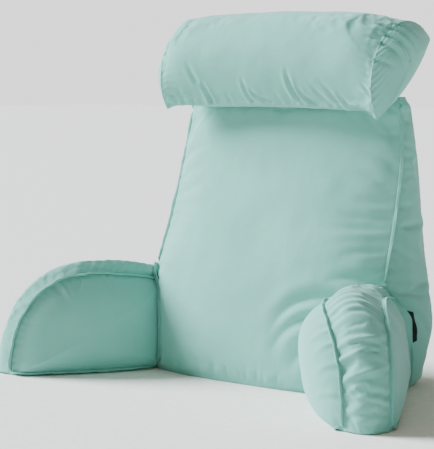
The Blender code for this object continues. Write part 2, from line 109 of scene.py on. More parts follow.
# Headrest bolster
HEAD_FRONT_SEAM = (0.056, 0.515)
HEAD_REAR_SEAM = (0.220, 0.650)
HEAD_HALF_LENGTH = 0.253
HeadStation = namedtuple("HeadStation", "share dome under seam_drop")
HEAD_STATIONS = (
    HeadStation(-1.00, 0.096, 0.012, 0.002),
    HeadStation(-0.92, 0.112, 0.030, -0.004),
    HeadStation(-0.78, 0.121, 0.046, -0.006),
    HeadStation(-0.50, 0.125, 0.054, -0.009),
    HeadStation(0.00, 0.124, 0.055, -0.010),
    HeadStation(0.50, 0.120, 0.054, -0.006),
    HeadStation(0.78, 0.117, 0.046, 0.000),
    HeadStation(0.92, 0.108, 0.030, 0.008),
    HeadStation(1.00, 0.096, 0.014, 0.015),
)
HEAD_END_BULGE = 0.041
HEAD_LENGTH_STEPS = 260
HEAD_FRONT_STEPS = 170
HEAD_UNDER_STEPS = 46
HEAD_END_STEPS = 32

# Seams
FLANGE_LIFT = -0.0012       # the flange's foot is sunk into the stitched valley
STITCH_HEIGHT = 0.0022

# Folds pressed into the covers. Places are in each panel's own coordinates, in metres.
# strength at the start and at the end are shares of the depth.
Fold = namedtuple("Fold", "start bend end width depth first last")
FRONT_FOLDS = (
    Fold((0.192, 0.176), (0.095, 0.182), (0.068, 0.092), 0.0110, 0.0075, 1.0, 0.0),
    Fold((0.180, 0.140), (0.098, 0.140), (0.078, 0.062), 0.0100, 0.0060, 1.0, 0.0),
    Fold((0.190, 0.100), (0.140, 0.090), (0.120, 0.035), 0.0100, 0.0040, 0.9, 0.0),
    Fold((0.262, 0.204), (0.220, 0.222), (0.170, 0.204), 0.0080, 0.0045, 0.8, 0.0),
    Fold((0.262, 0.313), (0.205, 0.300), (0.130, 0.306), 0.0100, 0.0018, 0.8, 0.0),
    Fold((0.262, 0.282), (0.215, 0.284), (0.150, 0.268), 0.0090, 0.0016, 0.8, 0.0),
    Fold((0.262, 0.262), (0.220, 0.264), (0.185, 0.250), 0.0080, 0.0014, 0.8, 0.0),
    Fold((0.258, 0.352), (0.220, 0.346), (0.180, 0.352), 0.0090, 0.0010, 0.7, 0.0),
    Fold((0.255, 0.400), (0.225, 0.396), (0.190, 0.400), 0.0080, 0.0010, 0.7, 0.0),
    Fold((0.252, 0.470), (0.225, 0.468), (0.200, 0.474), 0.0070, 0.0012, 0.8, 0.0),
    Fold((-0.225, 0.040), (-0.120, 0.026), (-0.020, 0.030), 0.0120, 0.0018, 0.3, 0.0),
    Fold((-0.262, 0.230), (-0.235, 0.225), (-0.200, 0.232), 0.0080, 0.0014, 0.8, 0.0),
)
# places on the headrest: along it, and round it from its lower front seam
HEAD_FRONT_FOLDS = (
    Fold((-0.137, 0.004), (-0.141, 0.026), (-0.150, 0.050), 0.0042, 0.0046, 0.9, 0.0),
    Fold((-0.162, 0.050), (-0.170, 0.066), (-0.184, 0.092), 0.0050, 0.0022, 0.8, 0.0),
    Fold((-0.036, 0.006), (-0.046, 0.028), (-0.047, 0.058), 0.0040, 0.0032, 0.9, 0.0),
    Fold((0.010, 0.005), (-0.026, 0.012), (-0.042, 0.044), 0.0040, 0.0034, 0.9, 0.0),
    Fold((0.078, 0.014), (0.066, 0.036), (0.062, 0.076), 0.0044, 0.0050, 0.9, 0.0),
    Fold((0.120, 0.003), (0.088, 0.014), (0.078, 0.050), 0.0042, 0.0040, 0.9, 0.0),
    Fold((0.154, 0.004), (0.130, 0.022), (0.108, 0.056), 0.0040, 0.0024, 0.8, 0.0),
    Fold((0.176, 0.003), (0.162, 0.026), (0.134, 0.058), 0.0044, 0.0026, 0.8, 0.0),
    Fold((0.240, 0.004), (0.184, -0.004), (0.171, 0.036), 0.0048, 0.0054, 0.7, 0.0),
    Fold((0.253, 0.046), (0.244, 0.050), (0.228, 0.064), 0.0038, 0.0028, 0.9, 0.0),
    Fold((-0.206, 0.004), (-0.212, 0.022), (-0.212, 0.044), 0.0050, 0.0020, 0.8, 0.0),
    Fold((-0.090, 0.004), (-0.094, 0.014), (-0.092, 0.030), 0.0042, 0.0012, 0.8, 0.0),
    Fold((0.034, 0.004), (0.030, 0.012), (0.028, 0.026), 0.0042, 0.0014, 0.8, 0.0),
    Fold((0.250, 0.190), (0.236, 0.190), (0.212, 0.178), 0.0048, 0.0028, 0.9, 0.0),
    Fold((0.250, 0.156), (0.240, 0.154), (0.222, 0.150), 0.0040, 0.0024, 0.9, 0.0),
)
# places on an end panel: across it and up it, from its middle
HEAD_END_FOLDS = (
    Fold((-0.040, 0.052), (-0.010, 0.030), (0.006, -0.030), 0.0050, 0.0060, 1.0, 0.0),
    Fold((-0.024, 0.062), (0.006, 0.040), (0.026, 0.000), 0.0048, 0.0052, 1.0, 0.0),
    Fold((-0.050, 0.038), (-0.034, 0.020), (-0.022, -0.020), 0.0046, 0.0046, 1.0, 0.0),
    Fold((0.000, 0.070), (0.020, 0.050), (0.044, 0.030), 0.0046, 0.0036, 1.0, 0.0),
    Fold((-0.072, 0.000), (-0.056, -0.004), (-0.040, -0.020), 0.0042, 0.0030, 1.0, 0.0),
)
GUSSET_FOLDS = (
    Fold((0.056, 0.188), (0.110, 0.184), (0.170, 0.172), 0.0060, 0.0062, 1.0, 0.0),
    Fold((0.066, 0.172), (0.098, 0.156), (0.145, 0.108), 0.0065, 0.0066, 1.0, 0.0),
    Fold((0.060, 0.204), (0.110, 0.208), (0.165, 0.204), 0.0070, 0.0022, 0.9, 0.0),
    Fold((0.084, 0.304), (0.115, 0.302), (0.152, 0.304), 0.0060, 0.0024, 1.0, 0.2),
    Fold((0.076, 0.266), (0.112, 0.246), (0.165, 0.232), 0.0065, 0.0026, 1.0, 0.1),
    Fold((0.094, 0.345), (0.124, 0.338), (0.160, 0.344), 0.0060, 0.0018, 1.0, 0.1),
    Fold((0.110, 0.400), (0.135, 0.392), (0.168, 0.400), 0.0060, 0.0016, 1.0, 0.1),
    Fold((0.122, 0.452), (0.142, 0.446), (0.166, 0.452), 0.0050, 0.0016, 1.0, 0.1),
    Fold((0.130, 0.496), (0.145, 0.490), (0.164, 0.498), 0.0050, 0.0020, 1.0, 0.2),
    Fold((0.190, 0.120), (0.170, 0.090), (0.165, 0.040), 0.0080, 0.0024, 0.8, 0.0),
)
# places on the arms' side panels: share of the length, times 0.36 m, and height
ARM_LEFT_INNER_FOLDS = (
    Fold((0.252, 0.180), (0.236, 0.164), (0.222, 0.142), 0.0060, 0.0024, 1.0, 0.0),
    Fold((0.232, 0.182), (0.222, 0.168), (0.214, 0.150), 0.0050, 0.0016, 1.0, 0.0),
    Fold((0.196, 0.184), (0.200, 0.172), (0.208, 0.160), 0.0050, 0.0016, 1.0, 0.0),
    Fold((0.128, 0.182), (0.118, 0.168), (0.110, 0.150), 0.0055, 0.0020, 1.0, 0.0),
    Fold((0.084, 0.176), (0.074, 0.162), (0.062, 0.146), 0.0050, 0.0012, 1.0, 0.0),
    Fold((0.330, 0.020), (0.300, 0.030), (0.262, 0.036), 0.0080, 0.0016, 1.0, 0.0),
)
ARM_RIGHT_INNER_FOLDS = (
    Fold((0.322, 0.150), (0.306, 0.134), (0.292, 0.112), 0.0050, 0.0016, 1.0, 0.0),
    Fold((0.300, 0.166), (0.284, 0.150), (0.270, 0.130), 0.0050, 0.0016, 1.0, 0.0),
    Fold((0.338, 0.112), (0.320, 0.102), (0.304, 0.084), 0.0050, 0.0014, 1.0, 0.0),
    Fold((0.344, 0.060), (0.326, 0.058), (0.304, 0.048), 0.0050, 0.0012, 1.0, 0.0),
)
ARM_OUTER_FOLDS = (
    Fold((0.100, 0.184), (0.080, 0.164), (0.050, 0.140), 0.0045, 0.0036, 1.0, 0.0),
    Fold((0.128, 0.186), (0.106, 0.166), (0.076, 0.140), 0.0045, 0.0034, 1.0, 0.0),
    Fold((0.156, 0.187), (0.134, 0.168), (0.108, 0.144), 0.0045, 0.0030, 1.0, 0.0),
    Fold((0.184, 0.186), (0.164, 0.168), (0.142, 0.146), 0.0045, 0.0024, 1.0, 0.0),
    Fold((0.260, 0.172), (0.246, 0.156), (0.232, 0.136), 0.0050, 0.0022, 1.0, 0.0),
)
# places on an arm's band: height on the tip's arc, and across it from -1 to 1 times 0.04 m
ARM_RIGHT_BAND_FOLDS = (
    Fold((0.078, -0.040), (0.106, -0.010), (0.104, 0.038), 0.0055, 0.0040, 1.0, 0.4),
    Fold((0.112, -0.040), (0.138, -0.012), (0.136, 0.020), 0.0050, 0.0042, 1.0, 0.0),
    Fold((0.132, -0.038), (0.156, -0.010), (0.150, 0.038), 0.0050, 0.0036, 1.0, 0.5),
    Fold((0.062, -0.038), (0.082, -0.014), (0.084, 0.010), 0.0050, 0.0024, 1.0, 0.0),
    Fold((0.044, 0.038), (0.060, 0.016), (0.058, -0.010), 0.0050, 0.0020, 1.0, 0.0),
    Fold((0.030, -0.036), (0.042, -0.012), (0.040, 0.012), 0.0050, 0.0020, 1.0, 0.0),
)


class CoverSettings(bpy.types.PropertyGroup):
    """The cloth of the covers and how it is filled."""
    cloth: FloatVectorProperty(
        name="Cloth colour", description="Dyed colour of the brushed cotton",
        subtype="COLOR", size=3, default=(0.205, 0.530, 0.475), min=0, max=1)
    shade: FloatVectorProperty(
        name="Worn colour", description="Colour of the nap where it lies flat",
        subtype="COLOR", size=3, default=(0.175, 0.490, 0.425), min=0, max=1)
    nap: FloatProperty(
        name="Nap", description="Strength of the brushed surface's soft sheen", default=0.35, min=0, max=1)
    weave: FloatProperty(
        name="Weave pitch", description="Distance between the yarns", default=0.0009, unit="LENGTH")
    unevenness: FloatProperty(
        name="Filling unevenness", description="Depth of the filling's broad lumps",
        default=0.0022, unit="LENGTH")
    slack: FloatProperty(
        name="Cloth slack", description="Share by which the panels are cut larger than their filling",
        default=0.035, min=0, max=0.1, subtype="FACTOR")
    pressure: FloatProperty(
        name="Filling pressure", description="Push of the filling on the cover", default=4.0, min=0)
    most_swell: FloatProperty(
        name="Most swell", description="Furthest that the filling moves a point of a cover",
        default=0.007, unit="LENGTH")


class SeamSettings(bpy.types.PropertyGroup):
    """The raised seams that stand on the sewn edges."""
    height: FloatProperty(
        name="Flange height", description="How far a seam stands up", default=0.0082, unit="LENGTH")
    root_height: FloatProperty(
        name="Root flange height", description="Height of the seam between an arm and the back",
        default=0.0100, unit="LENGTH")
    thickness: FloatProperty(
        name="Flange thickness", description="Both turned-in layers together", default=0.0036, unit="LENGTH")
    ripple: FloatProperty(
        name="Ripple", description="How far the flange leans to and fro", default=0.0016, unit="LENGTH")
    lean: FloatProperty(
        name="Lean", description="How far the arms' seams lie over towards the side panels", default=0.55)
    stitch_pitch: FloatProperty(
        name="Stitch pitch", description="Distance between two stitches", default=0.0042, unit="LENGTH")
    stitch_length: FloatProperty(
        name="Stitch length", description="Length of a stitch", default=0.0030, unit="LENGTH")
    stitch_thickness: FloatProperty(
        name="Thread thickness", description="Thickness of the sewing thread", default=0.0010, unit="LENGTH")
    thread: FloatVectorProperty(
        name="Thread colour", description="Colour of the sewing thread",
        subtype="COLOR", size=3, default=(0.11, 0.29, 0.25), min=0, max=1)


class LabelSettings(bpy.types.PropertyGroup):
    """The blank loop of tape behind the right arm."""
    tape: FloatVectorProperty(
        name="Tape colour", description="Colour of the woven tape",
        subtype="COLOR", size=3, default=(0.010, 0.010, 0.012), min=0, max=1)
    low: FloatProperty(name="Lower end", description="Height of its lower end", default=0.093, unit="LENGTH")
    top: FloatProperty(name="Upper end", description="Height of its upper end", default=0.154, unit="LENGTH")
    width: FloatProperty(name="Width", description="How far it stands out", default=0.0165, unit="LENGTH")
    facing: FloatVectorProperty(
        name="Facing", description="The way that it is folded over", size=3, default=(0.3, 0.55, 0.0))


class StageSettings(bpy.types.PropertyGroup):
    """The floor, the lights and the camera."""
    floor: FloatVectorProperty(
        name="Floor colour", description="Colour of the plain floor",
        subtype="COLOR", size=3, default=(0.88, 0.87, 0.83), min=0, max=1)
    ambient: FloatProperty(
        name="Ambient light", description="Strength of the light from all round", default=0.38, min=0)
    backdrop: FloatProperty(
        name="Backdrop", description="Brightness of the air behind the pillow", default=1.7, min=0)
    key: FloatProperty(
        name="Key light", description="Strength of the wide soft light at the left", default=11.5, min=0)
    distance: FloatProperty(
        name="Camera distance", description="From the camera to the point it looks at",
        default=3.059, unit="LENGTH")
    azimuth: FloatProperty(
        name="Camera direction", description="Turn of the camera round the pillow",
        default=math.radians(40.2), subtype="ANGLE")
    elevation: FloatProperty(
        name="Camera elevation", description="Angle of the camera above level",
        default=math.radians(5.0), subtype="ANGLE")
    lens: FloatProperty(name="Lens", description="Focal length, in millimetres", default=128.3, min=1)


# Shapes that every piece shares
def read_row(rows, key, values, field):
    """Smooth values of one column of a table at places along its key column."""
    keys = np.array([getattr(row, key) for row in rows])
    data = np.array([getattr(row, field) for row in rows])
    places = np.clip(values, keys[0], keys[-1])
    at = np.clip(np.searchsorted(keys, places, side="right") - 1, 0, len(keys) - 2)
    index = np.arange(len(keys))
    low, high = np.maximum(index - 1, 0), np.minimum(index + 1, len(keys) - 1)
    slope = (data[high] - data[low]) / (keys[high] - keys[low])
    span = keys[at + 1] - keys[at]
    part = (places - keys[at]) / span
    square, cube = part ** 2, part ** 3
    return (data[at] * (2 * cube - 3 * square + 1) + data[at + 1] * (3 * square - 2 * cube)
            + span * slope[at] * (cube - 2 * square + part) + span * slope[at + 1] * (cube - square))


def dome(share, power=2.4, fullness=0.8):
    """Height of a filled panel, 1 in its middle and 0 at its sewn edge."""
    return np.maximum(0.0, 1.0 - np.abs(share) ** power) ** fullness


def soft_edged_dome(share, fullness, edge=0.03):
    """A panel's dome whose slope stays finite at its sewn edge, and flatter in its middle."""
    full = (1 - share * share + edge) ** fullness - edge ** fullness
    return full / ((1 + edge) ** fullness - edge ** fullness) * (1 - 0.09 * (1 - share * share) ** 2)


def ease(value):
    """Smooth step from 0 to 1."""
    part = np.clip(value, 0.0, 1.0)
    return part * part * (3 - 2 * part)


def soft_noise(points, scale, seed):
    """Soft noise from -1 to 1 at points of any number of coordinates."""
    cells = np.asarray(points, float) / scale
    base = np.floor(cells)
    part = cells - base
    blend = part * part * (3 - 2 * part)
    rates = np.array((127.1, 311.7, 74.7))[:cells.shape[1]]
    total = np.zeros(len(cells))
    for corner in itertools.product((0, 1), repeat=cells.shape[1]):
        value = np.sin((base + corner) @ rates + seed * 57.31) * 43758.5453
        weight = np.prod(np.where(corner, blend, 1 - blend), axis=1)
        total += (2 * (value - np.floor(value)) - 1) * weight
    return total


def bend_line(fold, steps=12):
    t = np.linspace(0, 1, steps + 1)[:, None]
    start, bend, end = (np.array(pair) for pair in (fold.start, fold.bend, fold.end))
    return (1 - t) ** 2 * start + 2 * t * (1 - t) * bend + t ** 2 * end


def along_line(points, line):
    """For each point its signed distance to a line, and its share along it."""
    best = np.full(len(points), np.inf)
    share = np.zeros(len(points))
    side = np.ones(len(points))
    for k in range(len(line) - 1):
        run = line[k + 1] - line[k]
        part = np.clip(((points - line[k]) @ run) / (run @ run), 0, 1)
        gap = points - line[k] - part[:, None] * run
        away = np.hypot(gap[:, 0], gap[:, 1])
        nearer = away < best
        best[nearer] = away[nearer]
        share[nearer] = (k + part[nearer]) / (len(line) - 1)
        side[nearer] = np.sign(run[0] * gap[:, 1] - run[1] * gap[:, 0])[nearer]
    return best * side, share


def fold_relief(points, folds):
    """Relief of drag folds: a soft trough with a ridge of pushed-up cloth beside it."""
    relief = np.zeros(len(points))
    for fold in folds:
        away, share = along_line(points, bend_line(fold))
        strength = np.interp(share, (0, 0.25, 0.6, 1), (fold.first, 1, 0.75, fold.last))
        trough = np.exp(-np.abs(away / fold.width) ** 1.4)
        ridge = np.exp(-((away - 1.9 * fold.width) / (1.1 * fold.width)) ** 2)
        opposite = np.exp(-((away + 2.2 * fold.width) / (1.4 * fold.width)) ** 2)
        relief += fold.depth * strength * (0.55 * ridge + 0.35 * opposite - trough)
    return relief


def seam_puckers(along, away, pitch, depth, reach, seed):
    """Relief of small puckers that run into a seam, at irregular distances."""
    wander = soft_noise(np.column_stack((along, np.zeros_like(along))), pitch * 2.2, seed) * 1.6
    wave = np.sin(2 * np.pi * along / pitch + 2 * wander)
    size = 0.55 + 0.45 * soft_noise(np.column_stack((along, np.zeros_like(along))), pitch * 3.1, seed + 1)
    fade = np.exp(-np.abs(away) / reach) * ease(np.abs(away) / 0.002)
    return depth * size * fade * (wave - 0.3)


def ring_normals(rings):
    """Outward direction at each point of closed rings, from its neighbours."""
    along = np.gradient(rings, axis=0)
    around = np.roll(rings, -1, axis=1) - np.roll(rings, 1, axis=1)
    normal = np.cross(around, along)
    length = np.linalg.norm(normal, axis=2, keepdims=True)
    return normal / np.maximum(length, 1e-12)


def ring_faces(rows, count, start=0):
    """Quads between closed rings of points that are numbered ring by ring."""
    r = np.arange(rows - 1)[:, None] * count
    i = np.arange(count)[None, :]
    j = (i + 1) % count
    quads = np.stack((r + i, r + j, r + count + j, r + count + i), axis=2)
    return (quads.reshape(-1, 4) + start).tolist()


def new_piece(name, points, faces, materials):
    """An object at the origin whose faces all point outwards."""
    mesh = bpy.data.meshes.new(name)
    mesh.from_pydata([tuple(p) for p in np.asarray(points).tolist()], [], faces)
    form = bmesh.new()
    form.from_mesh(mesh)
    bmesh.ops.remove_doubles(form, verts=form.verts, dist=1e-6)
    bmesh.ops.recalc_face_normals(form, faces=form.faces)
    form.to_mesh(mesh)
    form.free()
    mesh.shade_smooth()
    piece = bpy.data.objects.new(name, mesh)
    bpy.context.scene.collection.objects.link(piece)
    for material in materials:
        mesh.materials.append(material)
    return piece


def settled(points, faces, pinned, cover, slack, most):
    """How far the filling moves each point of a cover, from a short settling of its cloth."""
    piece = new_cloth("settling_cover", points, faces)
    held = piece.vertex_groups.new(name="sewn")
    for weight, group in ((1.0, np.nonzero(pinned >= 0.99)[0]),):
        held.add([int(i) for i in group], weight, "REPLACE")
    cloth = piece.modifiers.new("filling", "CLOTH")
    cloth.settings.quality = 5
    cloth.settings.mass = 0.3
    cloth.settings.tension_stiffness = 12
    cloth.settings.compression_stiffness = 12
    cloth.settings.shear_stiffness = 4
    cloth.settings.bending_stiffness = 0.35
    cloth.settings.vertex_group_mass = "sewn"
    cloth.settings.use_pressure = True
    cloth.settings.uniform_pressure_force = cover.pressure
    cloth.settings.shrink_min = -slack
    cloth.settings.effector_weights.gravity = 0
    cloth.collision_settings.use_collision = False
    scene = bpy.context.scene
    for number in range(1, 21):
        scene.frame_set(number)
    graph = bpy.context.evaluated_depsgraph_get()
    result = np.zeros(len(points) * 3)
    piece.evaluated_get(graph).data.vertices.foreach_get("co", result)
    scene.frame_set(1)
    mesh = piece.data
    bpy.data.objects.remove(piece)
    bpy.data.meshes.remove(mesh)
    move = result.reshape(-1, 3) - points
    length = np.linalg.norm(move, axis=1, keepdims=True)
    return move * (most * np.tanh(length / most) / np.maximum(length, 1e-9))


def new_cloth(name, points, faces):
    mesh = bpy.data.meshes.new(name)
    mesh.from_pydata([tuple(p) for p in points.tolist()], [], faces)
    mesh.update()
    piece = bpy.data.objects.new(name, mesh)
    bpy.context.scene.collection.objects.link(piece)
    return piece


def spread_out(move):
    """Movements of every second ring and place, spread smoothly over all of them."""
    rows, count, size = move.shape
    fine = np.zeros((2 * rows - 1, 2 * count, size))
    fine[::2, ::2] = move
    fine[1::2, ::2] = (move[1:] + move[:-1]) / 2
    fine[:, 1::2] = (fine[:, ::2] + np.roll(fine[:, ::2], -1, axis=1)) / 2
    smooth = fine.copy()
    smooth[1:-1] = (fine[:-2] + 2 * fine[1:-1] + fine[2:]) / 4
    return (np.roll(smooth, 1, axis=1) + 2 * smooth + np.roll(smooth, -1, axis=1)) / 4


def settled_rings(rings, pinned, cover, slack, most, quiet=0):
    """Settles every second ring and place of a cover's rings and spreads the movement.

    The first and last quiet rings, round the middle of an end panel, keep still."""
    coarse = rings[::2, ::2]
    rows, count = coarse.shape[:2]
    faces = ring_faces(rows, count)
    faces.append(list(range(count))[::-1])
    faces.append([(rows - 1) * count + i for i in range(count)])
    held = pinned[::2, ::2].reshape(-1).astype(float)
    move = settled(coarse.reshape(-1, 3), faces, held, cover, slack, most)
    move = spread_out(move.reshape(rows, count, 3))
    row = np.arange(len(rings))
    if quiet:
        move *= ease(np.minimum(row, len(rings) - 1 - row) / quiet - 0.35)[:, None, None]
    return rings + move


# Cloth, thread and tape
def node(tree, kind, x, y, **values):
    made = tree.nodes.new(kind)
    made.location = (x, y)
    for name, value in values.items():
        setattr(made, name, value)
    return made


def cover_material(cover):
    """Brushed cotton: soft uneven dye, a fine plain weave under a matt nap."""
    material = bpy.data.materials.new("mint_brushed_cotton")
    material.use_nodes = True
    tree = material.node_tree
    shader = tree.nodes["Principled BSDF"]
    shader.inputs["Roughness"].default_value = 0.92
    shader.inputs["Specular IOR Level"].default_value = 0.18
    shader.inputs["Sheen Weight"].default_value = cover.nap
    shader.inputs["Sheen Roughness"].default_value = 0.45
    shader.inputs["Sheen Tint"].default_value = (0.86, 0.97, 0.98, 1.0)
    place = node(tree, "ShaderNodeTexCoord", -1500, 0)
    cloud = node(tree, "ShaderNodeTexNoise", -1100, 300)
    cloud.inputs["Scale"].default_value = 9.0
    cloud.inputs["Detail"].default_value = 3.0
    nap = node(tree, "ShaderNodeTexNoise", -1100, 60)
    nap.inputs["Scale"].default_value = 260.0
    nap.inputs["Detail"].default_value = 4.0
    nap.inputs["Roughness"].default_value = 0.65
    mixed = node(tree, "ShaderNodeMath", -850, 200, operation="MULTIPLY_ADD")
    mixed.inputs[1].default_value = 0.45
    ramp = node(tree, "ShaderNodeMapRange", -650, 200)
    ramp.inputs["From Min"].default_value = 0.42
    ramp.inputs["From Max"].default_value = 1.02
    colour = node(tree, "ShaderNodeMix", -400, 200, data_type="RGBA")
    colour.inputs["A"].default_value = (*cover.shade, 1.0)
    colour.inputs["B"].default_value = (*cover.cloth, 1.0)
    links = tree.links
    for texture in (cloud, nap):
        links.new(place.outputs["Object"], texture.inputs["Vector"])
    links.new(nap.outputs["Fac"], mixed.inputs[0])
    links.new(cloud.outputs["Fac"], mixed.inputs[2])
    links.new(mixed.outputs[0], ramp.inputs["Value"])
    links.new(ramp.outputs["Result"], colour.inputs["Factor"])
    links.new(colour.outputs["Result"], shader.inputs["Base Color"])
    weave = None
    for offset, direction in enumerate(("X", "Y", "Z")):
        wave = node(tree, "ShaderNodeTexWave", -1100, -250 - 260 * offset,
                    wave_type="BANDS", bands_direction=direction, wave_profile="SIN")
        wave.inputs["Scale"].default_value = 0.314 / cover.weave
        wave.inputs["Distortion"].default_value = 0.6
        wave.inputs["Detail"].default_value = 1.0
        links.new(place.outputs["Object"], wave.inputs["Vector"])
        if weave is None:
            weave = wave.outputs["Fac"]
        else:
            add = node(tree, "ShaderNodeMath", -800, -300 - 260 * offset, operation="ADD")
            links.new(weave, add.inputs[0])
            links.new(wave.outputs["Fac"], add.inputs[1])
            weave = add.outputs[0]
    fine = node(tree, "ShaderNodeBump", -350, -300)
    fine.inputs["Strength"].default_value = 0.16
    fine.inputs["Distance"].default_value = 0.0004
    links.new(weave, fine.inputs["Height"])
    crumple = node(tree, "ShaderNodeTexNoise", -1100, -1100)
    crumple.inputs["Scale"].default_value = 34.0
    crumple.inputs["Detail"].default_value = 5.0
    crumple.inputs["Roughness"].default_value = 0.55
    crumple.inputs["Distortion"].default_value = 0.35
    links.new(place.outputs["Object"], crumple.inputs["Vector"])
    broad = node(tree, "ShaderNodeBump", -120, -300)
    broad.inputs["Strength"].default_value = 0.35
    broad.inputs["Distance"].default_value = 0.0022
    links.new(crumple.outputs["Fac"], broad.inputs["Height"])
    links.new(fine.outputs["Normal"], broad.inputs["Normal"])
    fuzz = node(tree, "ShaderNodeBump", 60, -300)
    fuzz.inputs["Strength"].default_value = 0.22
    fuzz.inputs["Distance"].default_value = 0.0006
    links.new(nap.outputs["Fac"], fuzz.inputs["Height"])
    links.new(broad.outputs["Normal"], fuzz.inputs["Normal"])
    links.new(fuzz.outputs["Normal"], shader.inputs["Normal"])
    return material


def plain_material(name, colour, roughness, grain, depth):
    """A thread, tape or floor finish with a fine grain of its own."""
    material = bpy.data.materials.new(name)
    material.use_nodes = True
    tree = material.node_tree
    shader = tree.nodes["Principled BSDF"]
    shader.inputs["Roughness"].default_value = roughness
    shader.inputs["Specular IOR Level"].default_value = 0.25
    place = node(tree, "ShaderNodeTexCoord", -900, 0)
    noise = node(tree, "ShaderNodeTexNoise", -700, 0)
    noise.inputs["Scale"].default_value = grain
    noise.inputs["Detail"].default_value = 3.0
    colours = node(tree, "ShaderNodeMix", -400, 150, data_type="RGBA")
    colours.inputs["A"].default_value = (*(0.88 * c for c in colour), 1.0)
    colours.inputs["B"].default_value = (*(min(1.0, 1.1 * c) for c in colour), 1.0)
    bump = node(tree, "ShaderNodeBump", -200, -200)
    bump.inputs["Strength"].default_value = 0.3
    bump.inputs["Distance"].default_value = depth
    links = tree.links
    links.new(place.outputs["Object"], noise.inputs["Vector"])
    links.new(noise.outputs["Fac"], colours.inputs["Factor"])
    links.new(colours.outputs["Result"], shader.inputs["Base Color"])
    links.new(noise.outputs["Fac"], bump.inputs["Height"])
    links.new(bump.outputs["Normal"], shader.inputs["Normal"])
    return material


def shared_material(name):
    """The cloth, thread or tape, made once."""
    made = bpy.data.materials.get(name)
    if made is not None:
        return made
    scene = bpy.context.scene
    if name == "mint_brushed_cotton":
        return cover_material(scene.backrest_cover)
    if name == "mint_thread":
        return plain_material(name, scene.backrest_seams.thread, 0.6, 900.0, 0.0003)
    return plain_material("black_label_tape", scene.backrest_label.tape, 0.55, 1400.0, 0.0003)


def finish_piece(piece, nodes):
    """Tells the frame what a finished piece stands for."""
    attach(piece, "root")
    if nodes:
        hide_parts(*nodes)
    return piece


# Back cushion
def back_rings(rows, across, depth):
    """Rings of the back cushion: front from left to right, right gusset, rear, left gusset."""
    share = np.linspace(0, 1, rows + 1)
    z = BACK_HEIGHT * share
    sizes = {field: read_row(BACK_SECTIONS, "height", z, field)[:, None] for field in BackSection._fields[1:]}
    corner = (CORNER_LIFT * share ** 6)[:, None]
    u = np.linspace(-1, 1, across + 1)[None, :]
    v = np.linspace(-1, 1, depth + 1)[None, 1:-1]
    z = z[:, None]
    half, front, rear = sizes["half_width"], sizes["front_y"], sizes["rear_y"]
    front_row = np.stack((half * u, front - sizes["front_crown"] * dome(u), z + corner * np.abs(u) ** 8), axis=2)
    side_x = half + sizes["side_bulge"] * dome(v)
    side_y = front + (rear - front) * (v + 1) / 2
    side_z = np.broadcast_to(z + corner, side_x.shape)
    right_row = np.stack((side_x, side_y, side_z), axis=2)
    back_row = np.stack((half * u, rear + sizes["rear_crown"] * dome(u), z + corner * np.abs(u) ** 8), axis=2)
    left_row = np.stack((-side_x, side_y, side_z), axis=2)
    rings = np.concatenate((front_row, right_row, back_row[:, ::-1], left_row[:, ::-1]), axis=1)
    drawn = ((1 - ease(z / BACK_FOOT_RISE)) * BACK_FOOT_ROUND
             + ease(1 - (BACK_HEIGHT - z) / BACK_TOP_RISE) ** 2 * BACK_TOP_ROUND)
    middle = np.array((0.0, 0.11))
    out = rings[:, :, :2] - middle
    out /= np.linalg.norm(out, axis=2, keepdims=True)
    rings[:, :, :2] -= out * drawn[:, :, None]
    return rings


def cap_points(ring, across, depth):
    """Inner points of the flat cap of a ring with four sides, and the cap's faces."""
    def side(i, j):
        if j == 0:
            return i
        if j == depth:
            return 2 * across + depth - i
        if i == 0:
            return 2 * across + 2 * depth - j
        return across + j

    near, far = ring[:across + 1], ring[[2 * across + depth - i for i in range(across + 1)]]
    left, right = ring[[side(0, j) for j in range(depth + 1)]], ring[[side(across, j) for j in range(depth + 1)]]
    s = np.linspace(0, 1, across + 1)[:, None, None]
    t = np.linspace(0, 1, depth + 1)[None, :, None]
    flat = ((1 - t) * near[:, None] + t * far[:, None] + (1 - s) * left[None] + s * right[None]
            - (1 - s) * (1 - t) * near[0] - s * (1 - t) * near[-1] - (1 - s) * t * far[0] - s * t * far[-1])
    inner = flat[1:-1, 1:-1].reshape(-1, 3)

    def place(i, j, start, first):
        if i in (0, across) or j in (0, depth):
            return start + side(i, j)
        return first + (i - 1) * (depth - 1) + j - 1

    def faces(start, first, turned):
        quads = []
        for i in range(across):
            for j in range(depth):
                quad = [place(i, j, start, first), place(i + 1, j, start, first),
                        place(i + 1, j + 1, start, first), place(i, j + 1, start, first)]
                quads.append(quad[::-1] if turned else quad)
        return quads
    return inner, faces


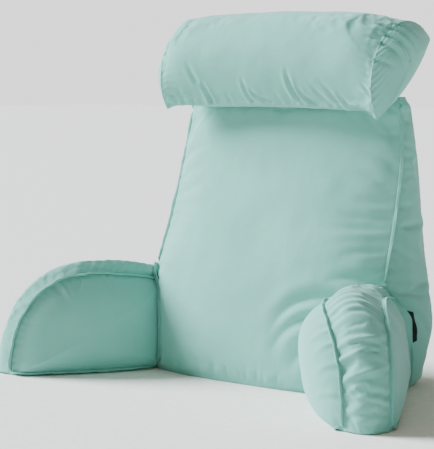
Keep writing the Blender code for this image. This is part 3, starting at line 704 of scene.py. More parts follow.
def back_cover(cover):
    rings = back_rings(BACK_ROWS, BACK_ACROSS, BACK_DEPTH)
    rows, count = rings.shape[:2]
    corners = (0, BACK_ACROSS, BACK_ACROSS + BACK_DEPTH, 2 * BACK_ACROSS + BACK_DEPTH)
    pinned = np.zeros((rows, count), bool)
    pinned[:, list(corners)] = True
    pinned[:3] = True
    pinned[-3:] = True
    rings = settled_rings(rings, pinned, cover, cover.slack, cover.most_swell)
    normal = ring_normals(rings)
    place = np.arange(count)
    z = rings[:, :, 2]
    relief = np.zeros((rows, count))
    front = place <= BACK_ACROSS
    right = (place > BACK_ACROSS) & (place < BACK_ACROSS + BACK_DEPTH)
    spots = np.column_stack((rings[:, front, 0].ravel(), z[:, front].ravel()))
    relief[:, front] += fold_relief(spots, FRONT_FOLDS).reshape(rows, -1)
    spots = np.column_stack((rings[:, right, 1].ravel(), z[:, right].ravel()))
    relief[:, right] += fold_relief(spots, GUSSET_FOLDS).reshape(rows, -1)
    left = place > 2 * BACK_ACROSS + BACK_DEPTH
    spots = np.column_stack((rings[:, left, 1].ravel(), z[:, left].ravel()))
    relief[:, left] += fold_relief(spots, GUSSET_FOLDS).reshape(rows, -1)
    for k, corner in enumerate(corners):
        away = np.linalg.norm(rings - rings[:, corner:corner + 1], axis=2)
        near = away < 0.07
        along = np.broadcast_to(z, away.shape)
        relief[near] += seam_puckers(along[near], away[near], 0.021, 0.0012, 0.016, 11 + k)
    flat = rings.reshape(-1, 3)
    lumps = soft_noise(flat, 0.085, 3) * cover.unevenness + soft_noise(flat, 0.034, 4) * 0.0007
    edge = np.full(count, 1.0)
    for corner in corners:
        step = np.abs((place - corner + count // 2) % count - count // 2)
        edge = np.minimum(edge, step / 9)
    relief += lumps.reshape(rows, count) * ease(edge)[None, :]
    relief *= ease(z / 0.03)
    relief *= ease((BACK_HEIGHT - z) / 0.02)
    rings = rings + normal * relief[:, :, None]
    rings[0, :, 2] = 0.0
    low_inner, low_faces = cap_points(rings[0], BACK_ACROSS, BACK_DEPTH)
    top_inner, top_faces = cap_points(rings[-1], BACK_ACROSS, BACK_DEPTH)
    points = np.concatenate((rings.reshape(-1, 3), low_inner, top_inner)) + PLACE
    faces = ring_faces(rows, count)
    faces += low_faces(0, rows * count, True)
    faces += top_faces((rows - 1) * count, rows * count + len(low_inner), False)
    piece = new_piece("back_cover", points, faces, [shared_material("mint_brushed_cotton")])
    return finish_piece(piece, ["back_cushion"])


# Arms
def arm_outline():
    """The side panel's D as (share, height), at close even steps, from the root's foot."""
    root = np.column_stack((np.full(ARM_ROOT_STEPS, -ARM_EMBED),
                            np.linspace(0, ARM_ROOT_HEIGHT, ARM_ROOT_STEPS, endpoint=False)))
    share = np.linspace(-ARM_EMBED, ARM_ARC_START, ARM_TOP_STEPS, endpoint=False)
    rise = np.sin(0.5 * np.pi * np.maximum(share, 0) / ARM_ARC_START)
    top = np.column_stack((share, ARM_ROOT_HEIGHT + (ARM_SEAM_HEIGHT - ARM_ROOT_HEIGHT) * rise))
    angle = np.linspace(0, 0.5 * np.pi, 600)
    turn = 2 / ARM_ARC_POWER
    arc = np.column_stack((ARM_ARC_START + (1 - ARM_ARC_START) * np.sin(angle) ** turn,
                           ARM_SEAM_HEIGHT * np.maximum(np.cos(angle), 0) ** turn))
    arc[-1] = (1.0, 0.0)
    real = arc * (0.33, 1.0)
    walked = np.concatenate(([0], np.cumsum(np.linalg.norm(np.diff(real, axis=0), axis=1))))
    even = np.linspace(0, walked[-1], ARM_ARC_STEPS, endpoint=False)
    arc = np.column_stack([np.interp(even, walked, arc[:, k]) for k in (0, 1)])
    share = np.linspace(1, -ARM_EMBED, ARM_FLOOR_STEPS, endpoint=False)
    floor = np.column_stack((share, np.zeros_like(share)))
    return np.concatenate((root, top, arc, floor))


def panel_points(arm, spots, inner):
    """Points of an arm's side panel, ruled between the slanting root and the upright tip."""
    low, top, tip = (np.array(pair) for pair in (
        (ARM_ROOT_INNER_LOW, ARM_ROOT_INNER_TOP, ARM_TIP_INNER) if inner
        else (ARM_ROOT_OUTER_LOW, ARM_ROOT_OUTER_TOP, arm.tip_outer)))
    share, height = spots[:, :1], spots[:, 1:]
    lean = np.clip(height / ARM_ROOT_HEIGHT, 0, 1)
    root = low + (top - low) * lean ** 1.5
    plan = root + (tip - root) * share
    middle = np.sin(np.pi * np.clip(share, 0, 1)) ** 0.6
    level = np.clip(height / ARM_SEAM_HEIGHT, 0, 1)
    bow, foot = (arm.inner_bow, arm.foot_bow) if inner else (arm.outer_bow, 0.0)
    lean = middle * (bow * level ** 1.7 + foot * (1 - level) ** 1.7)
    plan = plan - lean * np.array(ARM_ACROSS)
    return np.column_stack((arm.side * plan[:, 0], plan[:, 1], height[:, 0]))


def arm_panel_rings(arm, outline, inner):
    """Rings of a side panel, from its middle out to its seam, which is left out."""
    bulge = arm.inner_bulge if inner else -arm.outer_bulge
    centre = np.array((ARM_PANEL_CENTRE[0], ARM_PANEL_CENTRE[1] * ARM_SEAM_HEIGHT))
    ends = panel_points(arm, np.array(((1.0, 0.0), (0.0, 0.0))), inner)
    length = ends[0] - ends[1]
    outward = np.array((length[1], -length[0], 0.0)) * arm.side
    outward /= np.linalg.norm(outward)
    rings = []
    for k in np.sin(np.linspace(0.03, 1, ARM_PANEL_STEPS, endpoint=False) * np.pi / 2):
        spots = centre + (outline - centre) * k
        rings.append(panel_points(arm, spots, inner) + outward * bulge * soft_edged_dome(k, 0.62))
    return np.array(rings)


def arm_band_rings(arm, inner, outer):
    """Lines of the band between its two seams, raised and gathered across."""
    count = len(inner)
    first, last = ARM_ROOT_STEPS, ARM_ROOT_STEPS + ARM_TOP_STEPS + ARM_ARC_STEPS
    place = np.arange(count)
    on_band = (place >= first) & (place < last)
    rings = []
    for t in np.linspace(-1, 1, ARM_BAND_STEPS + 1)[1:-1]:
        line = inner + (outer - inner) * (t + 1) / 2
        along = np.roll(line, -1, axis=0) - np.roll(line, 1, axis=0)
        outward = np.cross(along, outer - inner) * arm.side
        outward /= np.linalg.norm(outward, axis=1, keepdims=True)
        rings.append(line + outward * (arm.crown * (1 - t * t) * on_band)[:, None])
    return np.array(rings)


def arm_cover(arm, cover):
    outline = arm_outline()
    inner, outer = (panel_points(arm, outline, side) for side in (True, False))
    band = arm_band_rings(arm, inner, outer)
    rings = np.concatenate((arm_panel_rings(arm, outline, True), inner[None], band, outer[None],
                            arm_panel_rings(arm, outline, False)[::-1]))
    rows, count = rings.shape[:2]
    seams = (ARM_PANEL_STEPS, ARM_PANEL_STEPS + ARM_BAND_STEPS)
    first, last = ARM_ROOT_STEPS, ARM_ROOT_STEPS + ARM_TOP_STEPS + ARM_ARC_STEPS
    pinned = np.zeros((rows, count), bool)
    pinned[list(seams)] = True
    pinned[seams[0]:seams[1] + 1, last:] = True
    pinned[:, :first + 8] |= outline[:first + 8, 0] < 0.06
    slack, most = (0.014, 0.003) if arm.side < 0 else (0.026, 0.004)
    rings = settled_rings(rings, pinned, cover, slack, most, quiet=ARM_PANEL_STEPS)
    normal = ring_normals(rings) * -arm.side
    row = np.arange(rows)[:, None]
    place = np.arange(count)[None, :]
    walked = np.concatenate(([0], np.cumsum(np.linalg.norm(np.diff(inner, axis=0), axis=1))))
    along = np.broadcast_to(walked[None, :], (rows, count))
    across = (row - seams[0]) / ARM_BAND_STEPS * 2 - 1
    across = np.broadcast_to(across, (rows, count))
    in_band = (row > seams[0]) & (row < seams[1]) & (place >= first) & (place < last)
    relief = np.zeros((rows, count))
    seed = 21 if arm.side < 0 else 31
    s, t = along[in_band], across[in_band]
    spots = np.column_stack((s, t * 0.03))
    curve = s + 0.010 * (1 - t * t) + 0.004 * soft_noise(spots, 0.03, seed)
    wave = np.sin(2 * np.pi * curve / 0.0175 + 1.8 * soft_noise(spots * (1, 0.3), 0.04, seed + 1))
    size = 0.6 + 0.5 * soft_noise(spots, 0.028, seed + 2)
    depth = 0.0004 if arm.side < 0 else 0.0012
    relief[in_band] += depth * size * (np.abs(wave) ** 0.7 * np.sign(wave)) * dome(t, 3.0, 0.5)
    if arm.side > 0:
        on_arc = in_band & (place >= first + ARM_TOP_STEPS)
        spots = np.column_stack((rings[:, :, 2][on_arc], across[on_arc] * 0.04))
        relief[on_arc] += fold_relief(spots, ARM_RIGHT_BAND_FOLDS)
    low = np.array(ARM_PANEL_CENTRE) * (1, ARM_SEAM_HEIGHT)
    inner_folds = ARM_LEFT_INNER_FOLDS if arm.side < 0 else ARM_RIGHT_INNER_FOLDS
    for start, stop, turn, folds in ((0, seams[0], 1, inner_folds), (seams[1] + 1, rows, -1, ARM_OUTER_FOLDS)):
        k = np.sin(np.linspace(0.03, 1, ARM_PANEL_STEPS, endpoint=False) * np.pi / 2)[::turn]
        spots = low + (outline[None] - low) * k[:, None, None]
        flat_spots = (spots * (0.36, 1.0)).reshape(-1, 2)
        relief[start:stop] += fold_relief(flat_spots, folds).reshape(stop - start, count)
    for k, seam in enumerate(seams):
        away = np.linalg.norm(rings - rings[seam:seam + 1], axis=2)
        near = (away < 0.06) & (place >= first) & (place < last)
        relief[near] += seam_puckers(along[near], away[near], 0.0165, 0.0008, 0.013, seed + 5 + k)
    flat = rings.reshape(-1, 3)
    lumps = soft_noise(flat, 0.06, seed + 9) * cover.unevenness * 0.7
    away = np.minimum(np.abs(row - seams[0]), np.abs(row - seams[1])) / 8
    relief += lumps.reshape(rows, count) * ease(away)
    relief *= ease(rings[:, :, 2] / 0.02)
    rings = rings + normal * relief[:, :, None]
    rings[:, :, 2] = np.maximum(rings[:, :, 2], 0.0)
    faces = ring_faces(rows, count)
    faces.append(list(range(count))[::-1])
    faces.append([(rows - 1) * count + i for i in range(count)])
    piece = new_piece(arm.name + "_cover", rings.reshape(-1, 3) + PLACE, faces,
                      [shared_material("mint_brushed_cotton")])
    cut_back(piece, folded=True)
    seam_line = {"inner": inner, "outer": outer}
    return finish_piece(piece, [arm.name]), seam_line, rings


def merged_copy(name, grow=0.0):
    """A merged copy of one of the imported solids, grown outwards."""
    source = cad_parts[name]
    form = bmesh.new()
    form.from_mesh(source.data)
    bmesh.ops.remove_doubles(form, verts=form.verts, dist=1e-6)
    form.normal_update()
    for vert in form.verts:
        vert.co += vert.normal * grow
    mesh = bpy.data.meshes.new(name + "_copy")
    form.to_mesh(mesh)
    form.free()
    copy = bpy.data.objects.new(name + "_copy", mesh)
    bpy.context.scene.collection.objects.link(copy)
    return copy


def cut_back(piece, folded=False):
    """Cuts a cover where it rests against the back cushion; a folded one may cross itself there."""
    cutter = merged_copy("back_cushion", 0.0005)
    cut = piece.modifiers.new("seat", "BOOLEAN")
    cut.operation = "DIFFERENCE"
    cut.object = cutter
    cut.solver = "EXACT"
    cut.use_self = folded
    graph = bpy.context.evaluated_depsgraph_get()
    mesh = bpy.data.meshes.new_from_object(piece.evaluated_get(graph))
    piece.modifiers.clear()
    old = piece.data
    piece.data = mesh
    mesh.name = piece.name
    bpy.data.meshes.remove(old)
    cutter_mesh = cutter.data
    bpy.data.objects.remove(cutter)
    bpy.data.meshes.remove(cutter_mesh)


# Headrest
def head_sections(share):
    """Leaf sections: over the front and top, then back along the underside."""
    sizes = {field: read_row(HEAD_STATIONS, "share", share, field)[:, None]
             for field in HeadStation._fields[1:]}
    front = np.stack((np.full_like(share, HEAD_FRONT_SEAM[0]),
                      HEAD_FRONT_SEAM[1] - sizes["seam_drop"][:, 0]), axis=1)[:, None]
    rear = np.array(HEAD_REAR_SEAM)[None, None]
    middle, chord = (front + rear) / 2, (rear - front) / 2
    rise = np.stack((-chord[:, :, 1], chord[:, :, 0]), axis=2)
    rise /= np.linalg.norm(rise, axis=2, keepdims=True)
    angle = np.linspace(np.pi, 0, HEAD_FRONT_STEPS + 1)[None, :, None]
    over = middle + chord * np.cos(angle) + rise * (sizes["dome"][:, :, None] * np.sin(angle))
    u = np.linspace(1, -1, HEAD_UNDER_STEPS + 1)[None, 1:-1, None]
    under = middle + chord * u - rise * (sizes["under"][:, :, None] * (1 - u * u))
    section = np.concatenate((over, under), axis=1)
    x = np.broadcast_to((HEAD_HALF_LENGTH * share)[:, None, None], section.shape[:2] + (1,))
    return np.concatenate((x, section), axis=2)


def head_end(ring, side):
    """Rings of an end panel, from its seam, which is left out, to its middle."""
    centre = ring.mean(axis=0)
    rings = []
    for k in np.cos(np.linspace(0, 0.97, HEAD_END_STEPS + 1)[1:] * np.pi / 2):
        full = soft_edged_dome(k, 0.7)
        rings.append(centre + (ring - centre) * k + np.array((side * HEAD_END_BULGE * full, 0, 0)))
    return np.array(rings)


def headrest_cover(cover):
    share = np.linspace(-1, 1, HEAD_LENGTH_STEPS + 1)
    body = head_sections(share)
    rings = np.concatenate((head_end(body[0], -1)[::-1], body, head_end(body[-1], 1)))
    rows, count = rings.shape[:2]
    ends = (HEAD_END_STEPS, HEAD_END_STEPS + HEAD_LENGTH_STEPS)
    long_seams = (0, HEAD_FRONT_STEPS)
    pinned = np.zeros((rows, count), bool)
    pinned[list(ends)] = True
    pinned[ends[0]:ends[1] + 1, list(long_seams)] = True
    pinned[:, HEAD_FRONT_STEPS + 8:count - 8] = True
    rings = settled_rings(rings, pinned, cover, 0.022, 0.004, quiet=HEAD_END_STEPS)
    normal = -ring_normals(rings)
    row = np.arange(rows)[:, None]
    place = np.arange(count)[None, :]
    arc = np.linalg.norm(np.diff(rings, axis=1), axis=2)
    around = np.concatenate((np.zeros((rows, 1)), np.cumsum(arc, axis=1)), axis=1)
    relief = np.zeros((rows, count))
    on_front = (place <= HEAD_FRONT_STEPS) & (row >= ends[0]) & (row <= ends[1])
    spots = np.column_stack((rings[:, :, 0][on_front], around[on_front]))
    relief[on_front] += fold_relief(spots, HEAD_FRONT_FOLDS)
    for end_rows, middle in ((slice(0, ends[0]), rings[0]), (slice(ends[1] + 1, rows), rings[-1])):
        spots = rings[end_rows, :, 1:] - middle.mean(axis=0)[1:]
        relief[end_rows] += fold_relief(spots.reshape(-1, 2), HEAD_END_FOLDS).reshape(spots.shape[:2])
    for k, end in enumerate(ends):
        away = np.linalg.norm(rings - rings[end:end + 1], axis=2)
        near = (away < 0.08) & (place <= HEAD_FRONT_STEPS)
        relief[near] += seam_puckers(around[near], away[near], 0.0135, 0.0020, 0.017, 41 + k)
    for k, seam in enumerate(long_seams):
        away = np.linalg.norm(rings - rings[:, seam:seam + 1], axis=2)
        near = (away < 0.05) & (row >= ends[0]) & (row <= ends[1]) & (place <= HEAD_FRONT_STEPS)
        x = np.broadcast_to(rings[:, :, 0], away.shape)
        relief[near] += seam_puckers(x[near], away[near], 0.024, 0.0013, 0.014, 44 + k)
    flat = rings.reshape(-1, 3)
    lumps = soft_noise(flat, 0.07, 47) * cover.unevenness + soft_noise(flat, 0.03, 48) * 0.0006
    away = np.minimum(np.abs(row - ends[0]), np.abs(row - ends[1])) / 8
    relief += lumps.reshape(rows, count) * ease(away) * ease(np.minimum(place, count - place) / 6)
    relief *= (place <= HEAD_FRONT_STEPS + 4)
    rings = rings + normal * relief[:, :, None]
    faces = ring_faces(rows, count)
    faces.append(list(range(count))[::-1])
    faces.append([(rows - 1) * count + i for i in range(count)])
    piece = new_piece("headrest_cover", rings.reshape(-1, 3) + PLACE, faces,
                      [shared_material("mint_brushed_cotton")])
    cut_back(piece)
    return finish_piece(piece, ["headrest"])


# Raised seams
def resampled(line, pitch):
    """A line with any further columns, at even steps along its first three."""
    walked = np.concatenate(([0], np.cumsum(np.linalg.norm(np.diff(line[:, :3], axis=0), axis=1))))
    steps = max(4, int(walked[-1] / pitch))
    even = np.linspace(0, walked[-1], steps + 1)
    return np.column_stack([np.interp(even, walked, line[:, k]) for k in range(line.shape[1])])


def unit(vectors):
    return vectors / np.maximum(np.linalg.norm(vectors, axis=-1, keepdims=True), 1e-12)


def eased(values, rounds):
    """Values along a line, smoothed with their neighbours."""
    for _ in range(rounds):
        padded = np.concatenate((values[:1], values, values[-1:]))
        values = (padded[:-2] + 2 * padded[1:-1] + padded[2:]) / 4
    return values


def flange_shape(line, outward, height, seams, seed, lift=FLANGE_LIFT, shift=0.0, thickness=None,
                 groove=0.12):
    """Points and faces of a raised seam: a soft, slightly rippled fin with a rounded edge."""
    data = resampled(np.column_stack((line, outward)), 0.0024)
    path, rise = data[:, :3], unit(data[:, 3:])
    along = unit(np.gradient(path, axis=0))
    across = unit(np.cross(along, rise))
    rise = np.cross(across, along)
    walked = np.concatenate(([0], np.cumsum(np.linalg.norm(np.diff(path, axis=0), axis=1))))
    spots = np.column_stack((walked, np.zeros_like(walked)))
    lean = soft_noise(spots, 0.011, seed) * 0.7 + soft_noise(spots, 0.026, seed + 1)
    tall = 1 + 0.10 * soft_noise(spots, 0.017, seed + 2)
    ends = ease(np.minimum(walked, walked[-1] - walked) / 0.006)
    half = (thickness or seams.thickness) / 2
    half_profile = [(-0.80, 0.0), (-0.72, 0.25), (-0.80, 0.50), (-0.96, 0.72), (-0.90, 0.92),
                    (-0.55, 1.0), (-0.22, 1.0 - 0.6 * groove)]
    profile = half_profile + [(0.0, 1.0 - groove)] + [(-side, up) for side, up in half_profile[::-1]]
    rings = []
    for side, up in profile:
        move = seams.ripple * lean * up ** 1.5 + shift
        rings.append(path + across * (half * side * (0.55 + 0.45 * ends) + move)[:, None]
                     + rise * (lift + height * up * tall * (0.4 + 0.6 * ends))[:, None])
    rings = np.array(rings).transpose(1, 0, 2)
    rings[:, :, 2] = np.maximum(rings[:, :, 2], 0.0)
    rows, count = rings.shape[:2]
    faces = ring_faces(rows, count)
    faces.append(list(range(count))[::-1])
    faces.append([(rows - 1) * count + i for i in range(count)])
    return rings.reshape(-1, 3), faces, (path, rise, across)


def stitch_tree(seams):
    """Node tree that sews a row of stitches along a line."""
    tree = bpy.data.node_groups.new("seam stitches", "GeometryNodeTree")
    sockets = tree.interface
    sockets.new_socket("Seam line", in_out="INPUT", socket_type="NodeSocketGeometry")
    for name, value in (("Stitch pitch", seams.stitch_pitch), ("Stitch length", seams.stitch_length),
                        ("Thread thickness", seams.stitch_thickness)):
        made = sockets.new_socket(name, in_out="INPUT", socket_type="NodeSocketFloat")
        made.default_value = value
        made.min_value = 0.0002
        made.subtype = "DISTANCE"
    sockets.new_socket("Thread", in_out="INPUT", socket_type="NodeSocketMaterial")
    sockets.new_socket("Stitches", in_out="OUTPUT", socket_type="NodeSocketGeometry")
    start = node(tree, "NodeGroupInput", -800, 0)
    end = node(tree, "NodeGroupOutput", 700, 0)
    curve = node(tree, "GeometryNodeMeshToCurve", -600, 0)
    spots = node(tree, "GeometryNodeCurveToPoints", -400, 0, mode="LENGTH")
    thread = node(tree, "GeometryNodeMeshUVSphere", -400, -300)
    thread.inputs["Segments"].default_value = 6
    thread.inputs["Rings"].default_value = 4
    thread.inputs["Radius"].default_value = 0.5
    size = node(tree, "ShaderNodeCombineXYZ", -400, -500)
    sewn = node(tree, "GeometryNodeInstanceOnPoints", -100, 0)
    real = node(tree, "GeometryNodeRealizeInstances", 150, 0)
    finish = node(tree, "GeometryNodeSetMaterial", 400, 0)
    links = tree.links
    links.new(start.outputs["Seam line"], curve.inputs["Mesh"])
    links.new(curve.outputs["Curve"], spots.inputs["Curve"])
    links.new(start.outputs["Stitch pitch"], spots.inputs["Length"])
    links.new(spots.outputs["Points"], sewn.inputs["Points"])
    links.new(spots.outputs["Rotation"], sewn.inputs["Rotation"])
    links.new(thread.outputs["Mesh"], sewn.inputs["Instance"])
    links.new(start.outputs["Thread thickness"], size.inputs["X"])
    links.new(start.outputs["Thread thickness"], size.inputs["Y"])
    links.new(start.outputs["Stitch length"], size.inputs["Z"])
    links.new(size.outputs["Vector"], sewn.inputs["Scale"])
    links.new(sewn.outputs["Instances"], real.inputs["Geometry"])
    links.new(real.outputs["Geometry"], finish.inputs["Geometry"])
    links.new(start.outputs["Thread"], finish.inputs["Material"])
    links.new(finish.outputs["Geometry"], end.inputs["Stitches"])
    return tree


def sew_stitches(name, lines, seams):
    """One piece with the stitches along several lines."""
    points, edges = [], []
    for line in lines:
        first = len(points)
        points += [tuple(p) for p in line.tolist()]
        edges += [(i, i + 1) for i in range(first, len(points) - 1)]
    mesh = bpy.data.meshes.new(name + "_line")
    mesh.from_pydata(points, edges, [])
    path = bpy.data.objects.new(name, mesh)
    bpy.context.scene.collection.objects.link(path)
    tree = bpy.data.node_groups.get("seam stitches") or stitch_tree(seams)
    sewing = path.modifiers.new("stitches", "NODES")
    sewing.node_group = tree
    values = {"Stitch pitch": seams.stitch_pitch, "Stitch length": seams.stitch_length,
              "Thread thickness": seams.stitch_thickness, "Thread": shared_material("mint_thread")}
    for item in tree.interface.items_tree:
        if item.in_out == "INPUT" and item.name in values:
            sewing[item.identifier] = values[item.name]
    graph = bpy.context.evaluated_depsgraph_get()
    result = bpy.data.meshes.new_from_object(path.evaluated_get(graph))
    path.modifiers.clear()
    path.data = result
    result.name = name
    bpy.data.meshes.remove(mesh)
    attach(path, "root")
    return path


def flange_piece(name, shapes, nodes, material="mint_brushed_cotton"):
    points, faces, first = [], [], 0
    for made in shapes:
        points.append(made[0])
        faces += [[i + first for i in face] for face in made[1]]
        first += len(made[0])
    piece = new_piece(name, np.concatenate(points) + PLACE, faces, [shared_material(material)])
    return finish_piece(piece, nodes)


def stitch_lines(made, seams):
    """Lines on both sides of a flange, a little above its foot."""
    path, rise, across = made[2]
    up = path + rise * (FLANGE_LIFT + STITCH_HEIGHT + 0.0012)
    out = across * (seams.thickness * 0.46 + 0.0001)
    return [up + out + PLACE, up - out + PLACE]


def back_flanges(seams):
    """Raised seams on the two long front edges of the back, which twist near the top corners."""
    rings = back_rings(BACK_ROWS, BACK_ACROSS, BACK_DEPTH)
    z = rings[:, 0, 2]
    rows = (z > 0.206)
    lines = []
    for side, place in (("left", 0), ("right", BACK_ACROSS)):
        line = rings[rows, place]
        sway = (0.009 * np.exp(-((z[rows] - 0.524) / 0.006) ** 2) - 0.008 * np.exp(-((z[rows] - 0.508) / 0.007) ** 2)
                + 0.0016 * np.sin(z[rows] * 95) * ease((z[rows] - 0.40) / 0.1))
        line[:, 0] += sway * (1 if side == "right" else -0.7)
        outward = unit(2 * rings[rows, place] - rings[rows, place - 2] - rings[rows, (place + 2)])
        made = flange_shape(line, eased(outward, 4), seams.height * 0.85, seams, 51 + place, thickness=0.0030)
        flange_piece("back_flange_" + side, [made], ["back_seam_" + side])
        lines += stitch_lines(made, seams)
    sew_stitches("back_stitches", lines, seams)


def arm_flanges(arm, seam_line, rings, seams):
    """Raised seams on both sides of an arm's band, and along the foot of its panels."""
    first, last = ARM_ROOT_STEPS, ARM_ROOT_STEPS + ARM_TOP_STEPS + ARM_ARC_STEPS
    lines = []
    for name, row, step in (("inner", ARM_PANEL_STEPS, -1), ("outer", ARM_PANEL_STEPS + ARM_BAND_STEPS, 1)):
        span = slice(first + 10, last + 1)
        line = seam_line[name][span]
        middle = rings[row, span]
        panel, band = rings[row + 4 * step, span], rings[row - 4 * step, span]
        across = unit(panel - middle) - unit(band - middle)
        outward = unit(np.cross(np.gradient(middle, axis=0), across))
        core = (panel_points(arm, np.array(((0.5, 0.08),)), True)
                + panel_points(arm, np.array(((0.5, 0.08),)), False)) / 2
        outward *= np.where(((line - core) * outward).sum(axis=1) < 0, -1, 1)[:, None]
        outward = unit(eased(outward + seams.lean * unit(across), 20))
        keep = line[:, 2] > 0.006
        height = seams.height * (1.3 if arm.side < 0 else 1.0)
        made = flange_shape(line[keep], outward[keep], height, seams, 61 + row + arm.side)
        flange_piece(arm.name + "_flange_" + name, [made], [arm.name + "_seam_" + name])
        lines += stitch_lines(made, seams)
    sew_stitches(arm.name + "_stitches", lines, seams)
    foot_flanges(arm, seams)


def foot_flanges(arm, seams):
    """Seams between an arm's side panels and its base, just above the floor."""
    outline = arm_outline()[-ARM_FLOOR_STEPS:]
    centre = np.array((ARM_PANEL_CENTRE[0], ARM_PANEL_CENTRE[1] * ARM_SEAM_HEIGHT))
    for inner in (True, False):
        k = 0.925 if arm.side < 0 or not inner else 0.955
        spots = centre + (outline - centre) * k
        spots = spots[spots[:, 0] > 0.05]
        spots = np.concatenate((((0.992, 0.010), (0.975, 0.008)), spots))
        bulge = arm.inner_bulge if inner else -arm.outer_bulge
        ends = panel_points(arm, np.array(((1.0, 0.0), (0.0, 0.0))), inner)
        length = ends[0] - ends[1]
        outward = unit(np.array((length[1], -length[0], 0.0)) * arm.side)
        full = np.concatenate(((0.0, 0.5), np.ones(len(spots) - 2))) * soft_edged_dome(k, 0.62)
        line = panel_points(arm, spots, inner) + outward * (bulge * full)[:, None]
        line = eased(resampled(line, 0.004), 3)
        rise = unit(np.array((0, 0, -0.35)) + outward * (1 if inner else -1))
        made = flange_shape(line, np.broadcast_to(rise, line.shape), 0.0062, seams, 71 + arm.side + 4 * inner)
        piece = new_piece(arm.name + "_foot_flange_" + ("inner" if inner else "outer"),
                          made[0] + PLACE, made[1], [shared_material("mint_brushed_cotton")])
        finish_piece(piece, [])


def root_loop(arm):
    """Where an arm meets the back, from the inner foot over the top to the outer foot."""
    tree_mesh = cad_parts["back_cushion"].data
    back = BVHTree.FromPolygons([v.co for v in tree_mesh.vertices],
                                [tuple(p.vertices) for p in tree_mesh.polygons])
    copy = merged_copy(arm.name)
    form = bmesh.new()
    form.from_mesh(copy.data)
    form.normal_update()
    near = {vert: back.find_nearest(vert.co)[3] < 0.0013 for vert in form.verts}
    loop = []
    for edge in form.edges:
        faces = [f for f in edge.link_faces if all(near[v] for v in f.verts)]
        others = [f for f in edge.link_faces if f not in faces]
        if len(faces) == 1 and len(others) == 1 and max(v.co.z for v in edge.verts) > 0.004:
            middle = (edge.verts[0].co + edge.verts[1].co) / 2
            spot = back.find_nearest(middle)
            loop.append((*middle, *(others[0].normal + spot[1]).normalized()))
    form.free()
    mesh = copy.data
    bpy.data.objects.remove(copy)
    bpy.data.meshes.remove(mesh)
    loop = np.array(loop)
    loop[:, :3] -= PLACE
    centre = np.array((loop[:, 1].mean(), 0.055))
    angle = np.arctan2(loop[:, 2] - centre[1], centre[0] - loop[:, 1])
    angle = np.where(angle < -np.pi / 2 - 0.6, angle + 2 * np.pi, angle)
    loop = loop[np.argsort(angle)]
    return loop


def root_flanges(seams, label):
    """The seams where the arms are sewn to the back, and the label behind the right one."""
    lines = []
    for arm in ARM_FORMS:
        loop = root_loop(arm)
        data = resampled(eased(resampled(loop, 0.006), 6), 0.004)
        keep = data[:, 2] > 0.012
        line, outward = data[keep, :3], unit(eased(unit(data[keep, 3:]), 40))
        height = seams.root_height * (1.6 if arm.side < 0 else 1.15)
        made = flange_shape(line, outward, height, seams, 81 + arm.side, lift=-0.0005,
                            thickness=0.0058, groove=0.30)
        flange_piece(arm.name + "_root_flange", [made], [arm.name + "_seam_root"])
        lines += stitch_lines(made, seams)
        if arm.side > 0:
            marked = (line[:, 2] > label.low) & (line[:, 2] < label.top) & (line[:, 1] > 0.06)
            facing = unit(outward[marked] + np.array(label.facing))
            tape = flange_shape(line[marked], facing, label.width, seams, 91, lift=0.0022,
                                shift=0.0034, thickness=0.0016)
            flange_piece("side_label_loop", [tape], ["side_label"], "black_label_tape")
    sew_stitches("root_stitches", lines, seams)


# Stage
class BACKREST_OT_back(bpy.types.Operator):
    """Makes the back cushion's cover"""
    bl_idname = "backrest.back"
    bl_label = "Back Cushion"

    def execute(self, context):
        back_cover(context.scene.backrest_cover)
        return {"FINISHED"}


class BACKREST_OT_arms(bpy.types.Operator):
    """Makes both arms with the raised seams of their bands"""
    bl_idname = "backrest.arms"
    bl_label = "Arms"

    def execute(self, context):
        for arm in ARM_FORMS:
            piece, seam_line, rings = arm_cover(arm, context.scene.backrest_cover)
            arm_flanges(arm, seam_line, rings, context.scene.backrest_seams)
        return {"FINISHED"}


class BACKREST_OT_headrest(bpy.types.Operator):
    """Makes the headrest bolster's cover"""
    bl_idname = "backrest.headrest"
    bl_label = "Headrest"

    def execute(self, context):
        headrest_cover(context.scene.backrest_cover)
        return {"FINISHED"}


class BACKREST_OT_seams(bpy.types.Operator):
    """Makes the raised seams of the back, the arms' roots and the side label"""
    bl_idname = "backrest.seams"
    bl_label = "Seams and Label"

    def execute(self, context):
        back_flanges(context.scene.backrest_seams)
        root_flanges(context.scene.backrest_seams, context.scene.backrest_label)
        return {"FINISHED"}


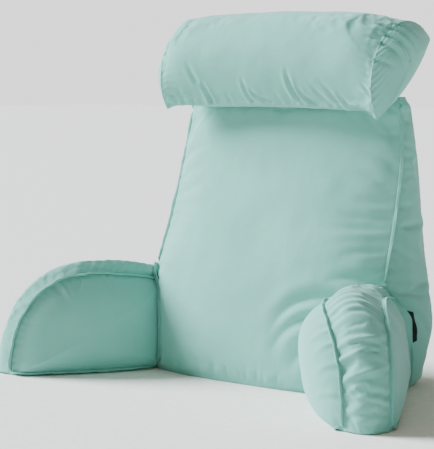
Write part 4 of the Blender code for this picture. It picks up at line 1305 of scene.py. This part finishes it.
class BACKREST_OT_stage(bpy.types.Operator):
    """Makes the floor, the lights and the camera"""
    bl_idname = "backrest.stage"
    bl_label = "Stage"

    def execute(self, context):
        scene, stage = context.scene, context.scene.backrest_stage
        mesh = bpy.data.meshes.new("studio_floor")
        half = 30.0
        mesh.from_pydata([(-half, -half, 0), (half, -half, 0), (half, half, 0), (-half, half, 0)],
                         [], [(0, 1, 2, 3)])
        floor = bpy.data.objects.new("studio_floor", mesh)
        scene.collection.objects.link(floor)
        mesh.materials.append(plain_material("pale_floor", stage.floor, 0.9, 60.0, 0.0001))
        world = bpy.data.worlds.new("studio_air")
        world.use_nodes = True
        tree = world.node_tree
        air = tree.nodes["Background"]
        seen = node(tree, "ShaderNodeLightPath", -600, 0)
        level = node(tree, "ShaderNodeMapRange", -300, 0)
        level.inputs["To Min"].default_value = stage.ambient
        level.inputs["To Max"].default_value = stage.backdrop
        tree.links.new(seen.outputs["Is Camera Ray"], level.inputs["Value"])
        tree.links.new(level.outputs["Result"], air.inputs["Strength"])
        tint = node(tree, "ShaderNodeMix", -300, 300, data_type="RGBA")
        tint.inputs["A"].default_value = (1.0, 0.95, 0.82, 1.0)
        tint.inputs["B"].default_value = (1.0, 1.0, 1.0, 1.0)
        tree.links.new(seen.outputs["Is Camera Ray"], tint.inputs["Factor"])
        tree.links.new(tint.outputs["Result"], air.inputs["Color"])
        scene.world = world
        sun = bpy.data.lights.new("key_light", "SUN")
        sun.energy = stage.key
        sun.angle = math.radians(28)
        sun.color = (0.88, 0.96, 1.0)
        key = bpy.data.objects.new("key_light", sun)
        key.rotation_euler = Vector((0.82, 0.24, -0.52)).to_track_quat("-Z", "Y").to_euler()
        scene.collection.objects.link(key)
        flat = math.cos(stage.elevation)
        away = Vector((math.sin(stage.azimuth) * flat, -math.cos(stage.azimuth) * flat,
                       math.sin(stage.elevation)))
        target = Vector((-0.0791, 0.0101, 0.295))
        data = bpy.data.cameras.new("photo_camera")
        camera = bpy.data.objects.new("photo_camera", data)
        scene.collection.objects.link(camera)
        camera.location = target + away * stage.distance
        camera.rotation_euler = (-away).to_track_quat("-Z", "Y").to_euler()
        data.sensor_width = 36
        data.lens = stage.lens
        data.shift_x = -0.0018
        scene.camera = camera
        return {"FINISHED"}


class BACKREST_PT_panel(bpy.types.Panel):
    """Shows the pillow's settings and the buttons that make its pieces"""
    bl_idname = "BACKREST_PT_panel"
    bl_label = "Backrest Pillow"
    bl_space_type = "VIEW_3D"
    bl_region_type = "UI"
    bl_category = "Backrest Pillow"

    def draw(self, context):
        for group in SETTINGS:
            box = self.layout.box()
            settings = getattr(context.scene, group)
            for name in settings.__annotations__:
                box.prop(settings, name)
        for operator in OPERATORS:
            self.layout.operator(operator.bl_idname)


SETTINGS = {
    "backrest_cover": CoverSettings,
    "backrest_seams": SeamSettings,
    "backrest_label": LabelSettings,
    "backrest_stage": StageSettings,
}
OPERATORS = (BACKREST_OT_back, BACKREST_OT_arms, BACKREST_OT_headrest, BACKREST_OT_seams, BACKREST_OT_stage)


def register():
    for name, group in SETTINGS.items():
        bpy.utils.register_class(group)
        setattr(bpy.types.Scene, name, PointerProperty(type=group))
    for made in (*OPERATORS, BACKREST_PT_panel):
        bpy.utils.register_class(made)


def unregister():
    for made in reversed((*OPERATORS, BACKREST_PT_panel)):
        bpy.utils.unregister_class(made)
    for name, group in SETTINGS.items():
        delattr(bpy.types.Scene, name)
        bpy.utils.unregister_class(group)


def main():
    register()
    bpy.ops.backrest.back()
    bpy.ops.backrest.arms()
    bpy.ops.backrest.headrest()
    bpy.ops.backrest.seams()
    bpy.ops.backrest.stage()


if __name__ == "__main__":
    main()
